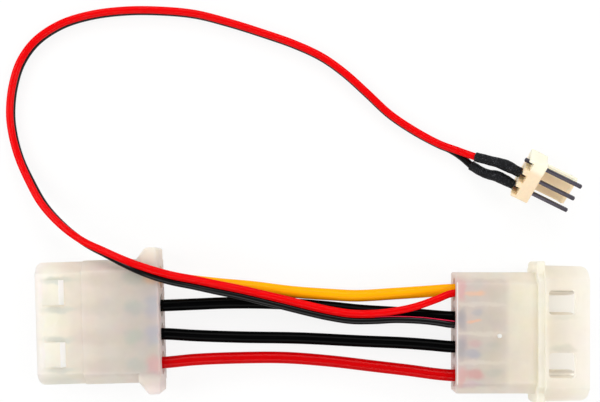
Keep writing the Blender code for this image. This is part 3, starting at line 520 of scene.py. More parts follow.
def extruded_pvc(name, code, dark_code, roughness, gloss):
    """Plasticised PVC insulation, extruded: glossy, with faint draw lines along the wire."""
    made, tree, shader = new_material(name, Roughness=roughness, IOR=1.53, Specular_IOR_Level=0.0,
                                      Coat_Weight=gloss, Coat_Roughness=0.14)
    around = out(tree, "ShaderNodeAttribute", output="Vector", attribute_name="across")
    along = out(tree, "ShaderNodeAttribute", output="Fac", attribute_name="along")
    parts = add(tree, "ShaderNodeSeparateXYZ", {0: around}).outputs
    drawn = out(tree, "ShaderNodeCombineXYZ",
                {0: parts[0], 1: parts[1], 2: math_node(tree, "MULTIPLY", along, 60.0)})
    lines = noise(tree, drawn, 3.2, 3.0)
    colour = mixed(tree, ranged(tree, lines, 0.35, 0.7), linear(code), linear(dark_code))
    colour_and_bump(tree, shader, colour, lines, 0.25, 0.03 * MM)
    return made


def drawn_metal(name, code, roughness, streak):
    """Tin-plated metal: dull bright plating with fine handling streaks."""
    made, tree, shader = new_material(name, Metallic=1.0)
    lines = noise(tree, mapping(tree, object_place(tree), "POINT", Scale=streak), 3000.0, 3.0)
    rough = ranged(tree, lines, 0.0, 1.0, roughness - 0.1, roughness + 0.15)
    tree.links.new(rough, shader.inputs["Roughness"])
    tree.links.new(shaded(tree, linear(code), ranged(tree, lines, 0.0, 1.0, 0.8, 1.1)),
                   shader.inputs["Base Color"])
    return made


def shrunk_tube(name):
    """Heat-shrink polyolefin: black, satin, with the lumps and ripples that shrinking leaves, and painted
    grey highlight specks.
    """
    made, tree, shader = new_material(name, Roughness=0.5, IOR=1.5, Specular_IOR_Level=0.12)
    spot = object_place(tree)
    ripple = noise(tree, spot, 1900.0, 5.0)
    highlight_specks = noise(tree, spot, 5200.0, 2.0)
    colour = mixed(tree, ripple, linear("040405"), linear("1A1B1E"))
    # Painted highlights: grey specks
    colour = mixed(tree, ranged(tree, highlight_specks, 0.58, 0.72), colour, linear("4A4C50"))
    colour_and_bump(tree, shader, colour, ripple, 1.0, 0.16 * MM)
    return made


def ivory_nylon(name):
    """Ivory glass-filled nylon, moulded: chalky, with painted light that lifts the shade on the friction
    wall, and a lighter painted tan in the notches, where its walls are thin and face each other.
    """
    made, tree, shader = new_material(name, Roughness=0.5, IOR=1.53, Subsurface_Weight=0.2,
                                      Subsurface_Radius=(1.0, 0.7, 0.4), Subsurface_Scale=0.0006)
    local = mapping(tree, object_place(tree), Location=HEADER_FRAME.translation,
                    Rotation=HEADER_FRAME.to_euler())
    along, row, _ = add(tree, "ShaderNodeSeparateXYZ", {0: local}).outputs
    # Painted light: the friction wall lighter, lifting the shade that the pins and the body cast on it
    wall = window(tree, along, 0.15 * MM, FAR, 0.25 * MM)
    off_axis = math_node(tree, "ABSOLUTE", math_node(tree, "WRAP", row, -HEADER_PITCH / 2, HEADER_PITCH / 2))
    # Painted light: a lighter tan in the notches, lifting their shade
    notch_painted_light = math_node(tree, "MULTIPLY",
                       window(tree, off_axis, -FAR, NOTCH_WIDTH / 2 + 0.1 * MM, 0.12 * MM),
                       window(tree, along, -FAR, NOTCH_DEPTH - HEADER_BASE + 0.1 * MM, 0.12 * MM))
    milkier = window(tree, row, HEADER_PITCH * 0.8, FAR, 0.6 * MM)
    colour = mixed(tree, wall, linear("F8E2C0"), linear("FFE6C0"))
    colour = mixed(tree, math_node(tree, "MULTIPLY", notch_painted_light, 0.7), colour, linear("FFE4B6"))
    colour = mixed(tree, math_node(tree, "MULTIPLY", milkier, 0.85), colour, linear("FCFAE6"))
    fibre = noise(tree, local, 1800.0, 3.0)
    colour = shaded(tree, colour, ranged(tree, fibre, 0.0, 1.0, 0.93, 1.05))
    pass_light(tree, shader, colour, 0.1)
    colour_and_bump(tree, shader, colour, fibre, 0.2, 0.03 * MM)
    return made


# Colours of the painted show-through of insulation and crimps
PEACH, PINK, BLUE_GREY, GREEN_GREY, DARK_GREY = "F4CDAE", "E0B9B7", "C2C1C6", "CACBC1", "BAB4B6"


def socket_painted_light_and_shade():
    """Painted light and shade patches: the insulation at the wire end and the crimped brass behind it showing
    through, painted shade over the cavities and beside the latches, painted light along the thin side edges,
    on the ears and at the start of the latch ramps, and a pink wash on the wire-end face.
    """
    painted_light_and_shade = []
    for circuit, code, half_width in (("12v", PEACH, 1.0), ("ground_a", BLUE_GREY, 1.9),
                                      ("ground_b", BLUE_GREY, 1.8), ("5v", PINK, 1.7)):
        row = -circuit_y(circuit) / MM
        painted_light_and_shade += [(9.0, row, 5.0, 1.3, "DAD1C6", 0.6), (1.1, row, 1.5, half_width, code, 0.85),
                  (4.3, row, 1.9, 1.3, GREEN_GREY, 0.9)]
    painted_light_and_shade.append((0, 0, 0.3, 13, "E4C6C2", 0.4))
    painted_light_and_shade += [(8.0, row, 9, 0.9, "EEE6DC", 0.7) for row in (-10.2, 10.2)]
    painted_light_and_shade += [(20.6, row, 0.5, 2.3, "FCF2EE", 0.9) for row in (-5.4, 5.6)]
    painted_light_and_shade += [(17.6, row, 2.8, 0.6, "DADCD2", 0.85) for row in (-7.6, -2.4, 2.8, 8.2)]
    painted_light_and_shade += [(18.0, 10.0, 3.6, 1.2, "E4E3DA", 0.8), (1.8, -12.8, 3.0, 2.2, "FAF4E6", 0.9),
              (1.8, 13.2, 3.0, 2.4, "F6E8E4", 0.9)]
    return painted_light_and_shade


def pin_painted_light_and_shade():
    """Painted light and shade patches: the insulation, the shared crimps with bare copper in them and the
    pins showing through, painted shade over the crimps and their shoulders, lighter painted strips between
    the cavities and along the thin side edges, and a pink wash on the wire-end face.
    """
    rows = {circuit: circuit_y(circuit) / MM for circuit in CIRCUITS}
    painted_light_and_shade = []
    for circuit, code in (("12v", PINK), ("ground_a", DARK_GREY), ("ground_b", DARK_GREY), ("5v", PINK)):
        painted_light_and_shade.append((0.8, rows[circuit], 0.9, 1.9, code, 0.95))
    for circuit, middle, offset, half_length, half_width, code, share in (
            ("12v", 3.2, -0.65, 1.7, 0.45, PEACH, 0.9), ("12v", 3.4, 0.9, 1.5, 0.7, GREEN_GREY, 0.5),
            ("ground_a", 3.0, -0.45, 1.1, 0.32, "F6CCAE", 1.0),
            ("ground_a", 3.6, 1.2, 0.9, 0.6, BLUE_GREY, 0.6),
            ("ground_b", 2.6, -1.0, 1.6, 0.9, BLUE_GREY, 0.9), ("ground_b", 3.2, 0.9, 1.3, 0.6, PINK, 0.5),
            ("ground_b", 6.2, 0.5, 1.2, 0.6, GREEN_GREY, 0.5), ("5v", 3.0, 0.6, 1.7, 0.9, "DDA9A6", 0.8),
            ("5v", 6.4, 0.8, 1.5, 0.7, GREEN_GREY, 0.8), ("5v", 2.6, -1.3, 1.6, 0.7, "D9C0C8", 0.7)):
        painted_light_and_shade.append((middle, rows[circuit] + offset, half_length, half_width, code, share))
    painted_light_and_shade += [(6.6, row, 2.0, 1.9, "D5CBBF", 0.5) for row in rows.values()]
    painted_light_and_shade += [(4.2, row * PITCH / MM, 4.6, 0.4, "EBE3D8", 0.7) for row in (-1, 0, 1)]
    painted_light_and_shade += [(7.0, row, 9, 0.9, "F4ECDF", 0.7) for row in (-10.2, 10.2)]
    painted_light_and_shade += [(0, 0, 0.25, 12, "DDBFBA", 0.6), (11.5, -5.5, 3.0, 5.5, "EADFD2", 0.6)]
    painted_light_and_shade += [(18.2, row, 2.3, 0.6, "D8D8CE", share) for row, share in ((2.8, 0.5), (-2.5, 0.8))]
    return painted_light_and_shade


LATCH_TOP = BODY_THICKNESS - MATING_STEP
CATCH = SOCKET_LENGTH - LATCH_SETBACK - LATCH_RAMP
socket_nylon = milky_nylon(
    "moulded_natural_nylon_socket", SOCKET_PLACE, math.pi + SOCKET_TURN,
    [(0, "D6CCC6"), (2.2, "D6CEC6"), (4.8, "DBD2C8"), (8.3, "E2D9CF"), (11.8, "EBE1D5"), (15.3, "EFE7D9"),
     (18.2, "FAF4E4"), (20, "FAF4E8"), (21.6, "F4EEEA")], socket_painted_light_and_shade(),
    # Painted highlights on the latch catches
    [(CATCH - LATCH_CATCH, CATCH, LATCH_TOP + 0.08 * MM, LATCH_TOP + MM, side * LATCH_SPACING / 2,
      LATCH_WIDTH / 2) for side in (-1, 1)], SOCKET_LENGTH)
PIN_TOP = PIN_AXIS_HEIGHT + BODY_THICKNESS / 2
pin_nylon = milky_nylon(
    "moulded_natural_nylon_pin", PIN_PLACE, 0,
    [(0, "DCCFC8"), (3.7, "DCD2C8"), (8.3, "E0D7CB"), (9.3, "EFE8D7"), (12.5, "F4EEDC"), (14.5, "F7F1E0"),
     (17, "F7F0E4"), (19.2, "F9F3E8"), (22.8, "FEFAF3")], pin_painted_light_and_shade(),
    # Painted highlights on the wire-end rim and the gate pip, and painted light inside the shroud
    [(-0.3 * MM, 0.2 * MM, PIN_TOP - 0.4 * MM, PIN_TOP + MM, 0, BLOCK_WIDTH / 2),
     (GATE_PLACE[0] - GATE_DIAMETER / 2, GATE_PLACE[0] + GATE_DIAMETER / 2, PIN_TOP + 0.05 * MM, PIN_TOP + MM,
      GATE_PLACE[1], GATE_DIAMETER / 2),
     (BLOCK_LENGTH + SHROUD_FLOOR / 2, PIN_HOUSING_LENGTH - 0.2 * MM, SHROUD_WALL / 2,
      SHROUD_THICKNESS - 2.7 * SHROUD_WALL, 0, SHROUD_INSIDE[0] / 2)],
    BLOCK_LENGTH + LUG_LENGTH)
yellow_pvc = extruded_pvc("extruded_yellow_pvc", "FCAE08", "F4A006", 0.45, 0.12)
black_pvc = extruded_pvc("extruded_black_pvc", "010101", "050506", 0.45, 0.08)
lead_black_pvc = extruded_pvc("extruded_black_lead_pvc", "020202", "08080A", 0.4, 0.5)
red_pvc = extruded_pvc("extruded_red_pvc", "C80003", "B60003", 0.45, 0.18)
torn_pvc = extruded_pvc("torn_red_pvc", "E8365C", "D81E3C", 0.6, 0.0)
bright_red_pvc = extruded_pvc("extruded_bright_red_pvc", "E4050A", "D40407", 0.4, 0.14)
tinned_brass = drawn_metal("stamped_tinned_brass", "F4EEE4", 0.55, (0.1, 1, 1))
tinned_copper = drawn_metal("drawn_tinned_copper_strand", "D2B8A0", 0.35, (0.1, 1, 1))
tinned_post = drawn_metal("drawn_tinned_post", "4E4A52", 0.35, (1, 1, 1))
heat_shrink = shrunk_tube("shrunk_black_polyolefin")
header_nylon = ivory_nylon("moulded_ivory_nylon")


# Shapes

workshop = bpy.data.collections.new("workshop")
scene.collection.children.link(workshop)
ALONG_X = Matrix(((0, 0, 1, 0), (1, 0, 0, 0), (0, 1, 0, 0), (0, 0, 0, 1)))
ALONG_Y = Matrix(((1, 0, 0, 0), (0, 0, -1, 0), (0, 1, 0, 0), (0, 0, 0, 1)))
MERGE = 0.001 * MM
SHEET_SEGMENTS = 28
BORE_SEGMENTS = 40
NOSE_STEPS = 6
NOSE_FULLNESS = 2.4
ROUTE_STEPS = 16
SPACING = {"wire": 0.5 * MM, "lead": 0.45 * MM, "sleeve": 0.22 * MM, "web": MM}
SIDES = {"wire": 32, "lead": 24, "sleeve": 28, "wire_strands": 20, "lead_strands": 16, "web": 12,
         "sliver": 10}
THIN_ROUND = 0.12 * MM


def evaluated_mesh(item):
    """The mesh that an object's modifiers make, in the row frame."""
    bpy.context.view_layer.update()
    evaluated = item.evaluated_get(bpy.context.evaluated_depsgraph_get())
    mesh = bpy.data.meshes.new_from_object(evaluated)
    mesh.transform(item.matrix_world)
    return mesh


@contextlib.contextmanager
def reworked(mesh):
    """A mesh opened for work on its faces, and written back."""
    body = bmesh.new()
    body.from_mesh(mesh)
    yield body
    body.to_mesh(mesh)
    body.free()


def show(name, mesh, surface, slot_name, *nodes, sharp=35):
    """Makes a finished mesh a piece of the part, in place of its solids."""
    mesh.materials.clear()
    mesh.materials.append(surface)
    mesh.shade_smooth()
    mesh.set_sharp_from_angle(angle=math.radians(sharp))
    piece = bpy.data.objects.new(name, mesh)
    scene.collection.objects.link(piece)
    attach(piece, "root")
    if nodes:
        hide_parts(*nodes)
    return piece


def prism(name, outline, low, high, axis="Z"):
    """Extrudes a flat outline from low to high: (y, z) along X, (x, z) along Y or (x, y) along Z."""
    curve = bpy.data.curves.new(name, "CURVE")
    curve.dimensions = "2D"
    curve.fill_mode = "BOTH"
    curve.extrude = (high - low) / 2
    spline = curve.splines.new("POLY")
    spline.points.add(len(outline) - 1)
    for point, (a, b) in zip(spline.points, outline):
        point.co = (a, b, 0, 1)
    spline.use_cyclic_u = True
    middle = (low + high) / 2
    holder = bpy.data.objects.new(name, curve)
    workshop.objects.link(holder)
    holder.matrix_world = {
        "X": Matrix.Translation((middle, 0, 0)) @ ALONG_X,
        "Y": Matrix.Translation((0, middle, 0)) @ ALONG_Y,
        "Z": Matrix.Translation((0, 0, middle)),
    }[axis]
    mesh = evaluated_mesh(holder)
    bpy.data.objects.remove(holder, do_unlink=True)
    with reworked(mesh) as body:
        bmesh.ops.remove_doubles(body, verts=body.verts, dist=MERGE)
        bmesh.ops.dissolve_limit(body, angle_limit=math.radians(1), verts=body.verts, edges=body.edges)
    return mesh


def tool(name, mesh, frame_matrix):
    item = bpy.data.objects.new(name, mesh)
    workshop.objects.link(item)
    item.matrix_world = frame_matrix
    item.hide_render = True
    return item


def solid(name, outline, low, high, axis, frame_matrix):
    """A prism that stands in a frame, to be worked on."""
    return tool(name, prism(name, outline, low, high, axis), frame_matrix)


def combine(target, shape, operation):
    step = target.modifiers.new(shape.name, "BOOLEAN")
    step.operation = operation
    step.solver = "EXACT"
    step.object = shape


def round_edges(item, width, segments=3, degrees=30):
    bevel = item.modifiers.new("rounded_edges", "BEVEL")
    bevel.width = width
    bevel.segments = segments
    bevel.limit_method = "ANGLE"
    bevel.angle_limit = math.radians(degrees)
    item.modifiers.new("flat_triangles", "TRIANGULATE")


def arc(centre, radius, start, end, steps=6):
    turns = [math.radians(start + (end - start) * k / steps) for k in range(steps + 1)]
    return [(centre[0] + radius * math.cos(t), centre[1] + radius * math.sin(t)) for t in turns]


def rounded_rectangle(centre, length, width, radius):
    x, y = centre
    a, b = length / 2 - radius, width / 2 - radius
    corners = [(x + a, y + b, 0), (x - a, y + b, 90), (x - a, y - b, 180), (x + a, y - b, 270)]
    return [point for cx, cy, turn in corners for point in arc((cx, cy), radius, turn, turn + 90)]


def rounded_end(end, half, radius):
    """The two far corners of a plan that reaches end, half to each side."""
    return [*arc((end - radius, radius - half), radius, -90, 0),
            *arc((end - radius, half - radius), radius, 0, 90)]


def rectangle(left, right, low, high):
    return [(left, low), (right, low), (right, high), (left, high)]


def square_at(middle, half):
    return rectangle(middle - half, middle + half, -half, half)


def keyed_section(width, low, high, chamfer):
    half = width / 2
    return [(-half, low), (half, low), (half, high - chamfer), (half - chamfer, high),
            (chamfer - half, high), (-half, high - chamfer)]


def turned_bore(name, profile, place, frame_matrix):
    """A turned cutter along +X from a profile of (depth, diameter) steps."""
    mesh = bpy.data.meshes.new(name)
    rings = [(diameter / 2, 0, depth) for depth, diameter in reversed(profile)]
    points = [(0, 0, profile[-1][0]), *rings, (0, 0, profile[0][0])]
    mesh.from_pydata(points, [(k, k + 1) for k in range(len(points) - 1)], [])
    turned = frame_matrix @ Matrix.Translation(place) @ Matrix.Rotation(math.pi / 2, 4, "Y")
    cutter = tool(name, mesh, turned)
    screw = cutter.modifiers.new("turned", "SCREW")
    screw.steps = screw.render_steps = BORE_SEGMENTS
    screw.use_merge_vertices = True
    screw.merge_threshold = MERGE
    screw.use_smooth_shade = False
    return cutter


# Housings

def socket_housing():
    half = SOCKET_WIDTH / 2
    mating_start = SOCKET_LENGTH - MATING_LENGTH
    housing = solid("socket_body", keyed_section(SOCKET_WIDTH, 0, BODY_THICKNESS, BODY_CHAMFER),
                    0, mating_start + EDGE_ROUND, "X", SOCKET_FRAME)
    round_edges(housing, EDGE_ROUND)
    edge = half - MATING_STEP
    section = keyed_section(2 * edge, MATING_STEP, BODY_THICKNESS - MATING_STEP, BODY_CHAMFER)
    mating = solid("mating_end", section, mating_start - MATING_CORNER, SOCKET_LENGTH, "X", SOCKET_FRAME)
    plan = [(0, -edge), *rounded_end(SOCKET_LENGTH, edge, MATING_CORNER), (0, edge)]
    combine(mating, solid("mating_plan", plan, -MATING_STEP, BODY_THICKNESS + MATING_STEP, "Z", SOCKET_FRAME),
            "INTERSECT")
    round_edges(mating, THIN_ROUND, 2, 40)
    combine(housing, mating, "UNION")
    ear_end = EAR_FLAT + EAR_SLOPE
    ears = [(SIDE_INSET, -EAR_HALF), (EAR_FLAT, -EAR_HALF), (ear_end, -half + EDGE_ROUND),
            (ear_end, half - EDGE_ROUND), (EAR_FLAT, EAR_HALF), (SIDE_INSET, EAR_HALF)]
    ear_shape = solid("finger_ears", ears, SIDE_INSET, BODY_THICKNESS - SIDE_INSET, "Z", SOCKET_FRAME)
    round_edges(ear_shape, EAR_ROUND)
    combine(housing, ear_shape, "UNION")
    start = SOCKET_LENGTH - LATCH_SETBACK
    ramp = [(start, LATCH_TOP - EDGE_ROUND), (start, LATCH_TOP), (CATCH, LATCH_TOP + LATCH_HEIGHT),
            (CATCH - LATCH_CATCH, LATCH_TOP), (CATCH - LATCH_CATCH, LATCH_TOP - EDGE_ROUND)]
    for side in (-1, 1):
        middle = side * LATCH_SPACING / 2
        latch = solid(f"latch_{side}", ramp, middle - LATCH_WIDTH / 2, middle + LATCH_WIDTH / 2, "Y",
                      SOCKET_FRAME)
        round_edges(latch, LATCH_ROUND, 2)
        combine(housing, latch, "UNION")
    barrel_bore = PIN_DIAMETER + 2 * BARREL_CLEARANCE + 2 * SHEET + 4 * CAVITY_CLEARANCE
    entry = SOCKET_LENGTH - SOCKET_ENTRY_DEPTH
    step = SHOULDER[1] + CAVITY_CLEARANCE
    over = EDGE_ROUND
    profile = [(-over, REAR_BORE), (step, REAR_BORE), (step + SHOULDER_SLOPE, barrel_bore),
               (entry, barrel_bore), (entry, SOCKET_ENTRY_BORE), (SOCKET_LENGTH - LEAD_IN, SOCKET_ENTRY_BORE),
               (SOCKET_LENGTH + over, SOCKET_ENTRY_BORE + 2 * LEAD_IN + 2 * over)]
    for circuit in CIRCUITS:
        place = Vector((0, -circuit_y(circuit), SOCKET_AXIS_HEIGHT))
        combine(housing, turned_bore(f"socket_bore_{circuit}", profile, place, SOCKET_FRAME), "DIFFERENCE")
    show("moulded_socket_housing", evaluated_mesh(housing), socket_nylon, "natural_nylon", "socket_housing")


def pin_housing():
    low = PIN_AXIS_HEIGHT - BODY_THICKNESS / 2
    high = low + BODY_THICKNESS
    lug_end = BLOCK_LENGTH + LUG_LENGTH
    mouth = PIN_HOUSING_LENGTH
    housing = solid("pin_body", keyed_section(BLOCK_WIDTH, low, high, BODY_CHAMFER), 0,
                    BLOCK_LENGTH + LUG_LENGTH / 2, "X", PIN_FRAME)
    round_edges(housing, EDGE_ROUND)
    section = keyed_section(SHROUD_WIDTH - 2 * COLLAR_STEP, COLLAR_STEP, SHROUD_THICKNESS - COLLAR_STEP,
                            BODY_CHAMFER + SHROUD_WALL / 4)
    collar = solid("collar", section, BLOCK_LENGTH + SIDE_INSET, lug_end - SIDE_INSET, "X", PIN_FRAME)
    round_edges(collar, THIN_ROUND, 2, 40)
    combine(housing, collar, "UNION")
    section = keyed_section(SHROUD_WIDTH, 0, SHROUD_THICKNESS, BODY_CHAMFER + SHROUD_WALL / 2)
    shroud = solid("shroud", section, lug_end - EDGE_ROUND, mouth, "X", PIN_FRAME)
    half = SHROUD_WIDTH / 2
    plan = [(0, -half), (BLOCK_LENGTH, -half), *rounded_end(mouth, half - SHROUD_DRAFT, SHROUD_CORNER),
            (BLOCK_LENGTH, half), (0, half)]
    combine(shroud, solid("shroud_plan", plan, -EDGE_ROUND, SHROUD_THICKNESS + EDGE_ROUND, "Z", PIN_FRAME),
            "INTERSECT")
    round_edges(shroud, THIN_ROUND, 2, 40)
    combine(housing, shroud, "UNION")
    lugs = [(lug_end, LUG_HALF), *arc((BLOCK_LENGTH + LUG_ROUND, LUG_HALF - LUG_ROUND), LUG_ROUND, 90, 180),
            *arc((BLOCK_LENGTH + LUG_ROUND, LUG_ROUND - LUG_HALF), LUG_ROUND, 180, 270),
            (lug_end, -LUG_HALF)]
    lug_shape = solid("side_lugs", lugs, low + SIDE_INSET, high - SIDE_INSET, "Z", PIN_FRAME)
    round_edges(lug_shape, EDGE_ROUND)
    combine(housing, lug_shape, "UNION")
    floor = BLOCK_LENGTH + SHROUD_FLOOR
    inside = keyed_section(SHROUD_INSIDE[0], SHROUD_WALL, SHROUD_THICKNESS - SHROUD_WALL, BODY_CHAMFER)
    combine(housing, solid("shroud_cavity", inside, floor, mouth + EDGE_ROUND, "X", PIN_FRAME), "DIFFERENCE")
    for side in (-1, 1):
        centre = (mouth - WINDOW_SETBACK, side * LATCH_SPACING / 2)
        outline = rounded_rectangle(centre, WINDOW_LENGTH, WINDOW_WIDTH, WINDOW_ROUND)
        opening = solid(f"latch_window_{side}", outline, PIN_AXIS_HEIGHT, SHROUD_THICKNESS + EDGE_ROUND, "Z",
                        PIN_FRAME)
        combine(housing, opening, "DIFFERENCE")
    circle = arc(GATE_PLACE, GATE_DIAMETER / 2, 0, 360, 24)[:-1]
    pip = solid("gate_pip", circle, high - EDGE_ROUND, high + GATE_HEIGHT, "Z", PIN_FRAME)
    round_edges(pip, THIN_ROUND, 3, 40)
    combine(housing, pip, "UNION")
    pin_bore = PIN_DIAMETER + 2 * CAVITY_CLEARANCE
    step = SHOULDER[1] + CAVITY_CLEARANCE
    profile = [(-EDGE_ROUND, REAR_BORE), (step, REAR_BORE), (step + SHOULDER_SLOPE, pin_bore),
               (floor + EDGE_ROUND, pin_bore)]
    for circuit in CIRCUITS:
        place = Vector((0, circuit_y(circuit), PIN_AXIS_HEIGHT))
        combine(housing, turned_bore(f"pin_bore_{circuit}", profile, place, PIN_FRAME), "DIFFERENCE")
    show("moulded_pin_housing", evaluated_mesh(housing), pin_nylon, "natural_nylon", "pin_housing")


# Terminals

def rolled_sheet(name, stations, place, lean, frame_matrix, node):
    """A sheet rolled round an axis along +X: stations of (depth, outer diameter, mouth, across, up)."""
    mesh = bpy.data.meshes.new(name)
    with reworked(mesh) as body:
        rows = []
        for depth, diameter, mouth, across, up in stations:
            radius = diameter / 2 - SHEET / 2
            first = math.pi / 2 + lean + mouth / 2
            sweep = 2 * math.pi - mouth
            turns = [first + sweep * k / SHEET_SEGMENTS for k in range(SHEET_SEGMENTS + 1)]
            rows.append([body.verts.new((depth, across + radius * math.cos(t), up + radius * math.sin(t)))
                         for t in turns])
        for near, far in zip(rows, rows[1:]):
            for k in range(SHEET_SEGMENTS):
                body.faces.new((near[k], near[k + 1], far[k + 1], far[k]))
        bmesh.ops.recalc_face_normals(body, faces=body.faces)
    sheet = tool(name, mesh, frame_matrix @ Matrix.Translation(place))
    wall = sheet.modifiers.new("sheet", "SOLIDIFY")
    wall.thickness = SHEET
    wall.offset = 0
    wall.use_even_offset = True
    show(f"rolled_{node}", evaluated_mesh(sheet), tinned_brass, "tinned_brass", node)


def crimp_stations(wire_across, wire_up):
    insulation = WIRE_DIAMETER + 2 * CRIMP_CLEARANCE + 2 * SHEET
    copper = WIRE_COPPER + 2 * CRIMP_CLEARANCE + 2 * SHEET
    gap = WIRE_CRIMP[0] - INSULATION_CRIMP[1]
    stations = [*((depth, insulation, CRIMP_MOUTH) for depth in INSULATION_CRIMP),
                (INSULATION_CRIMP[1] + gap / 2, insulation, NECK_MOUTH),
                *((depth, copper, CRIMP_MOUTH) for depth in WIRE_CRIMP)]
    return [(*station, wire_across, wire_up) for station in stations]


def terminals():
    barrel = PIN_DIAMETER + 2 * BARREL_CLEARANCE + 2 * SHEET
    shoulder = [(depth, SHOULDER_DIAMETER, SLOT, 0, 0) for depth in SHOULDER]
    for circuit in CIRCUITS:
        stations = crimp_stations(0, 0) + shoulder + [
            (depth, barrel, SLOT, 0, 0)
            for depth in (SHOULDER[1] + SHOULDER_SLOPE, SOCKET_LENGTH - BARREL_TIP_SETBACK)]
        place = Vector((0, -circuit_y(circuit), SOCKET_AXIS_HEIGHT))
        rolled_sheet("socket_sheet", stations, place, 0, SOCKET_FRAME, f"socket_terminal_{circuit}")

        across, up = SHARED_WIRE.get(circuit, (0, 0))
        lean = 0
        if circuit in SHARED_LEAD:
            lead_across, lead_up = SHARED_LEAD[circuit]
            lean = math.atan2(lead_up - up, lead_across - across) - math.pi / 2
        tip = PIN_HOUSING_LENGTH - PIN_TIP_SETBACK
        steps = [k / NOSE_STEPS for k in range(NOSE_STEPS + 1)]
        small = PIN_TIP_DIAMETER / PIN_DIAMETER
        nose = [(tip - PIN_NOSE * (1 - s), small + (1 - small) * math.sqrt(max(0, 1 - s ** NOSE_FULLNESS)))
                for s in steps]
        stations = crimp_stations(across, up) + shoulder + [
            (depth, PIN_DIAMETER * size, SEAM, 0, 0)
            for depth, size in [(SHOULDER[1] + SHOULDER_SLOPE, 1), *nose]]
        place = Vector((0, circuit_y(circuit), PIN_AXIS_HEIGHT))
        rolled_sheet("pin_sheet", stations, place, lean, PIN_FRAME, f"pin_terminal_{circuit}")


# Header

def header():
    half = HEADER_WIDTH / 2
    body = solid("header_moulding", rectangle(-half, half, -HEADER_BACK, HEADER_FRONT), -HEADER_BASE, 0, "X",
                 HEADER_FRAME)
    round_edges(body, HEADER_ROUND)
    inner = WALL_THICKNESS - HEADER_BACK
    hook = [(-HEADER_BASE / 2, -HEADER_BACK), (WALL_LENGTH, -HEADER_BACK), (WALL_LENGTH, inner),
            (WALL_LENGTH - 2 * WALL_HOOK, inner + WALL_HOOK), (WALL_LENGTH - 4 * WALL_HOOK, inner),
            (-HEADER_BASE / 2, inner)]
    wall = solid("friction_wall", hook, -WALL_WIDTH / 2, WALL_WIDTH / 2, "Y", HEADER_FRAME)
    round_edges(wall, WALL_ROUND, 2)
    combine(body, wall, "UNION")
    hole = POST_WIDTH / 2 + POST_CLEARANCE
    for pin, order in HEADER_PINS.items():
        middle = order * HEADER_PITCH
        notch = rectangle(middle - NOTCH_WIDTH / 2, middle + NOTCH_WIDTH / 2,
                          -NOTCH_WIDTH / 2, HEADER_FRONT + EDGE_ROUND)
        combine(body, solid(f"notch_{pin}", notch, -HEADER_BASE - EDGE_ROUND, NOTCH_DEPTH - HEADER_BASE, "X",
                            HEADER_FRAME), "DIFFERENCE")
        combine(body, solid(f"hole_{pin}", square_at(middle, hole), -HEADER_BASE - EDGE_ROUND, EDGE_ROUND,
                            "X", HEADER_FRAME), "DIFFERENCE")
    moulding = show("moulded_header_body", evaluated_mesh(body), header_nylon, "ivory_nylon", "header_body")
    posts = []
    for pin, order in HEADER_PINS.items():
        tail = SHORT_TAIL_LENGTH if pin == "sense" else TAIL_LENGTH
        mesh = prism("post", square_at(order * HEADER_PITCH, POST_WIDTH / 2), -HEADER_BASE - tail,
                     POST_LENGTH, "X")
        with reworked(mesh) as ends:
            rim = [edge for edge in ends.edges if abs(edge.verts[0].co.x - edge.verts[1].co.x) < MERGE]
            bmesh.ops.bevel(ends, geom=rim, offset=POST_CHAMFER, segments=2, profile=0.5, affect="EDGES")
        post = tool(f"drawn_post_{pin}", mesh, HEADER_FRAME)
        round_edges(post, POST_ROUND, 2)
        posts.append(show(f"header_post_{pin}", evaluated_mesh(post), tinned_post, "tinned_post",
                          f"header_pin_{pin}"))
    return moulding, posts


# Cords

def smooth_route(points, spacing):
    """Even points on a centripetal Catmull-Rom curve through the route's own points."""
    points = [Vector(point) for point in points]
    ends = [2 * points[0] - points[1], *points, 2 * points[-1] - points[-2]]
    fine = []
    for p0, p1, p2, p3 in zip(ends, ends[1:], ends[2:], ends[3:]):
        t1 = (p1 - p0).length ** 0.5
        t2 = t1 + (p2 - p1).length ** 0.5
        t3 = t2 + (p3 - p2).length ** 0.5
        for step in range(ROUTE_STEPS):
            t = t1 + (t2 - t1) * step / ROUTE_STEPS
            a1 = p0.lerp(p1, t / t1)
            a2 = p1.lerp(p2, (t - t1) / (t2 - t1))
            a3 = p2.lerp(p3, (t - t2) / (t3 - t2))
            b1 = a1.lerp(a2, t / t2)
            b2 = a2.lerp(a3, (t - t1) / (t3 - t1))
            fine.append(b1.lerp(b2, (t - t1) / (t2 - t1)))
    fine.append(points[-1].copy())
    reach = [0.0]
    for a, b in zip(fine, fine[1:]):
        reach.append(reach[-1] + (b - a).length)
    count = max(2, round(reach[-1] / spacing))
    picked, here = [], 0
    for k in range(count + 1):
        want = reach[-1] * k / count
        while here < len(reach) - 2 and reach[here + 1] < want:
            here += 1
        share = (want - reach[here]) / max(reach[here + 1] - reach[here], 1e-9)
        picked.append(fine[here].lerp(fine[here + 1], share))
    return picked


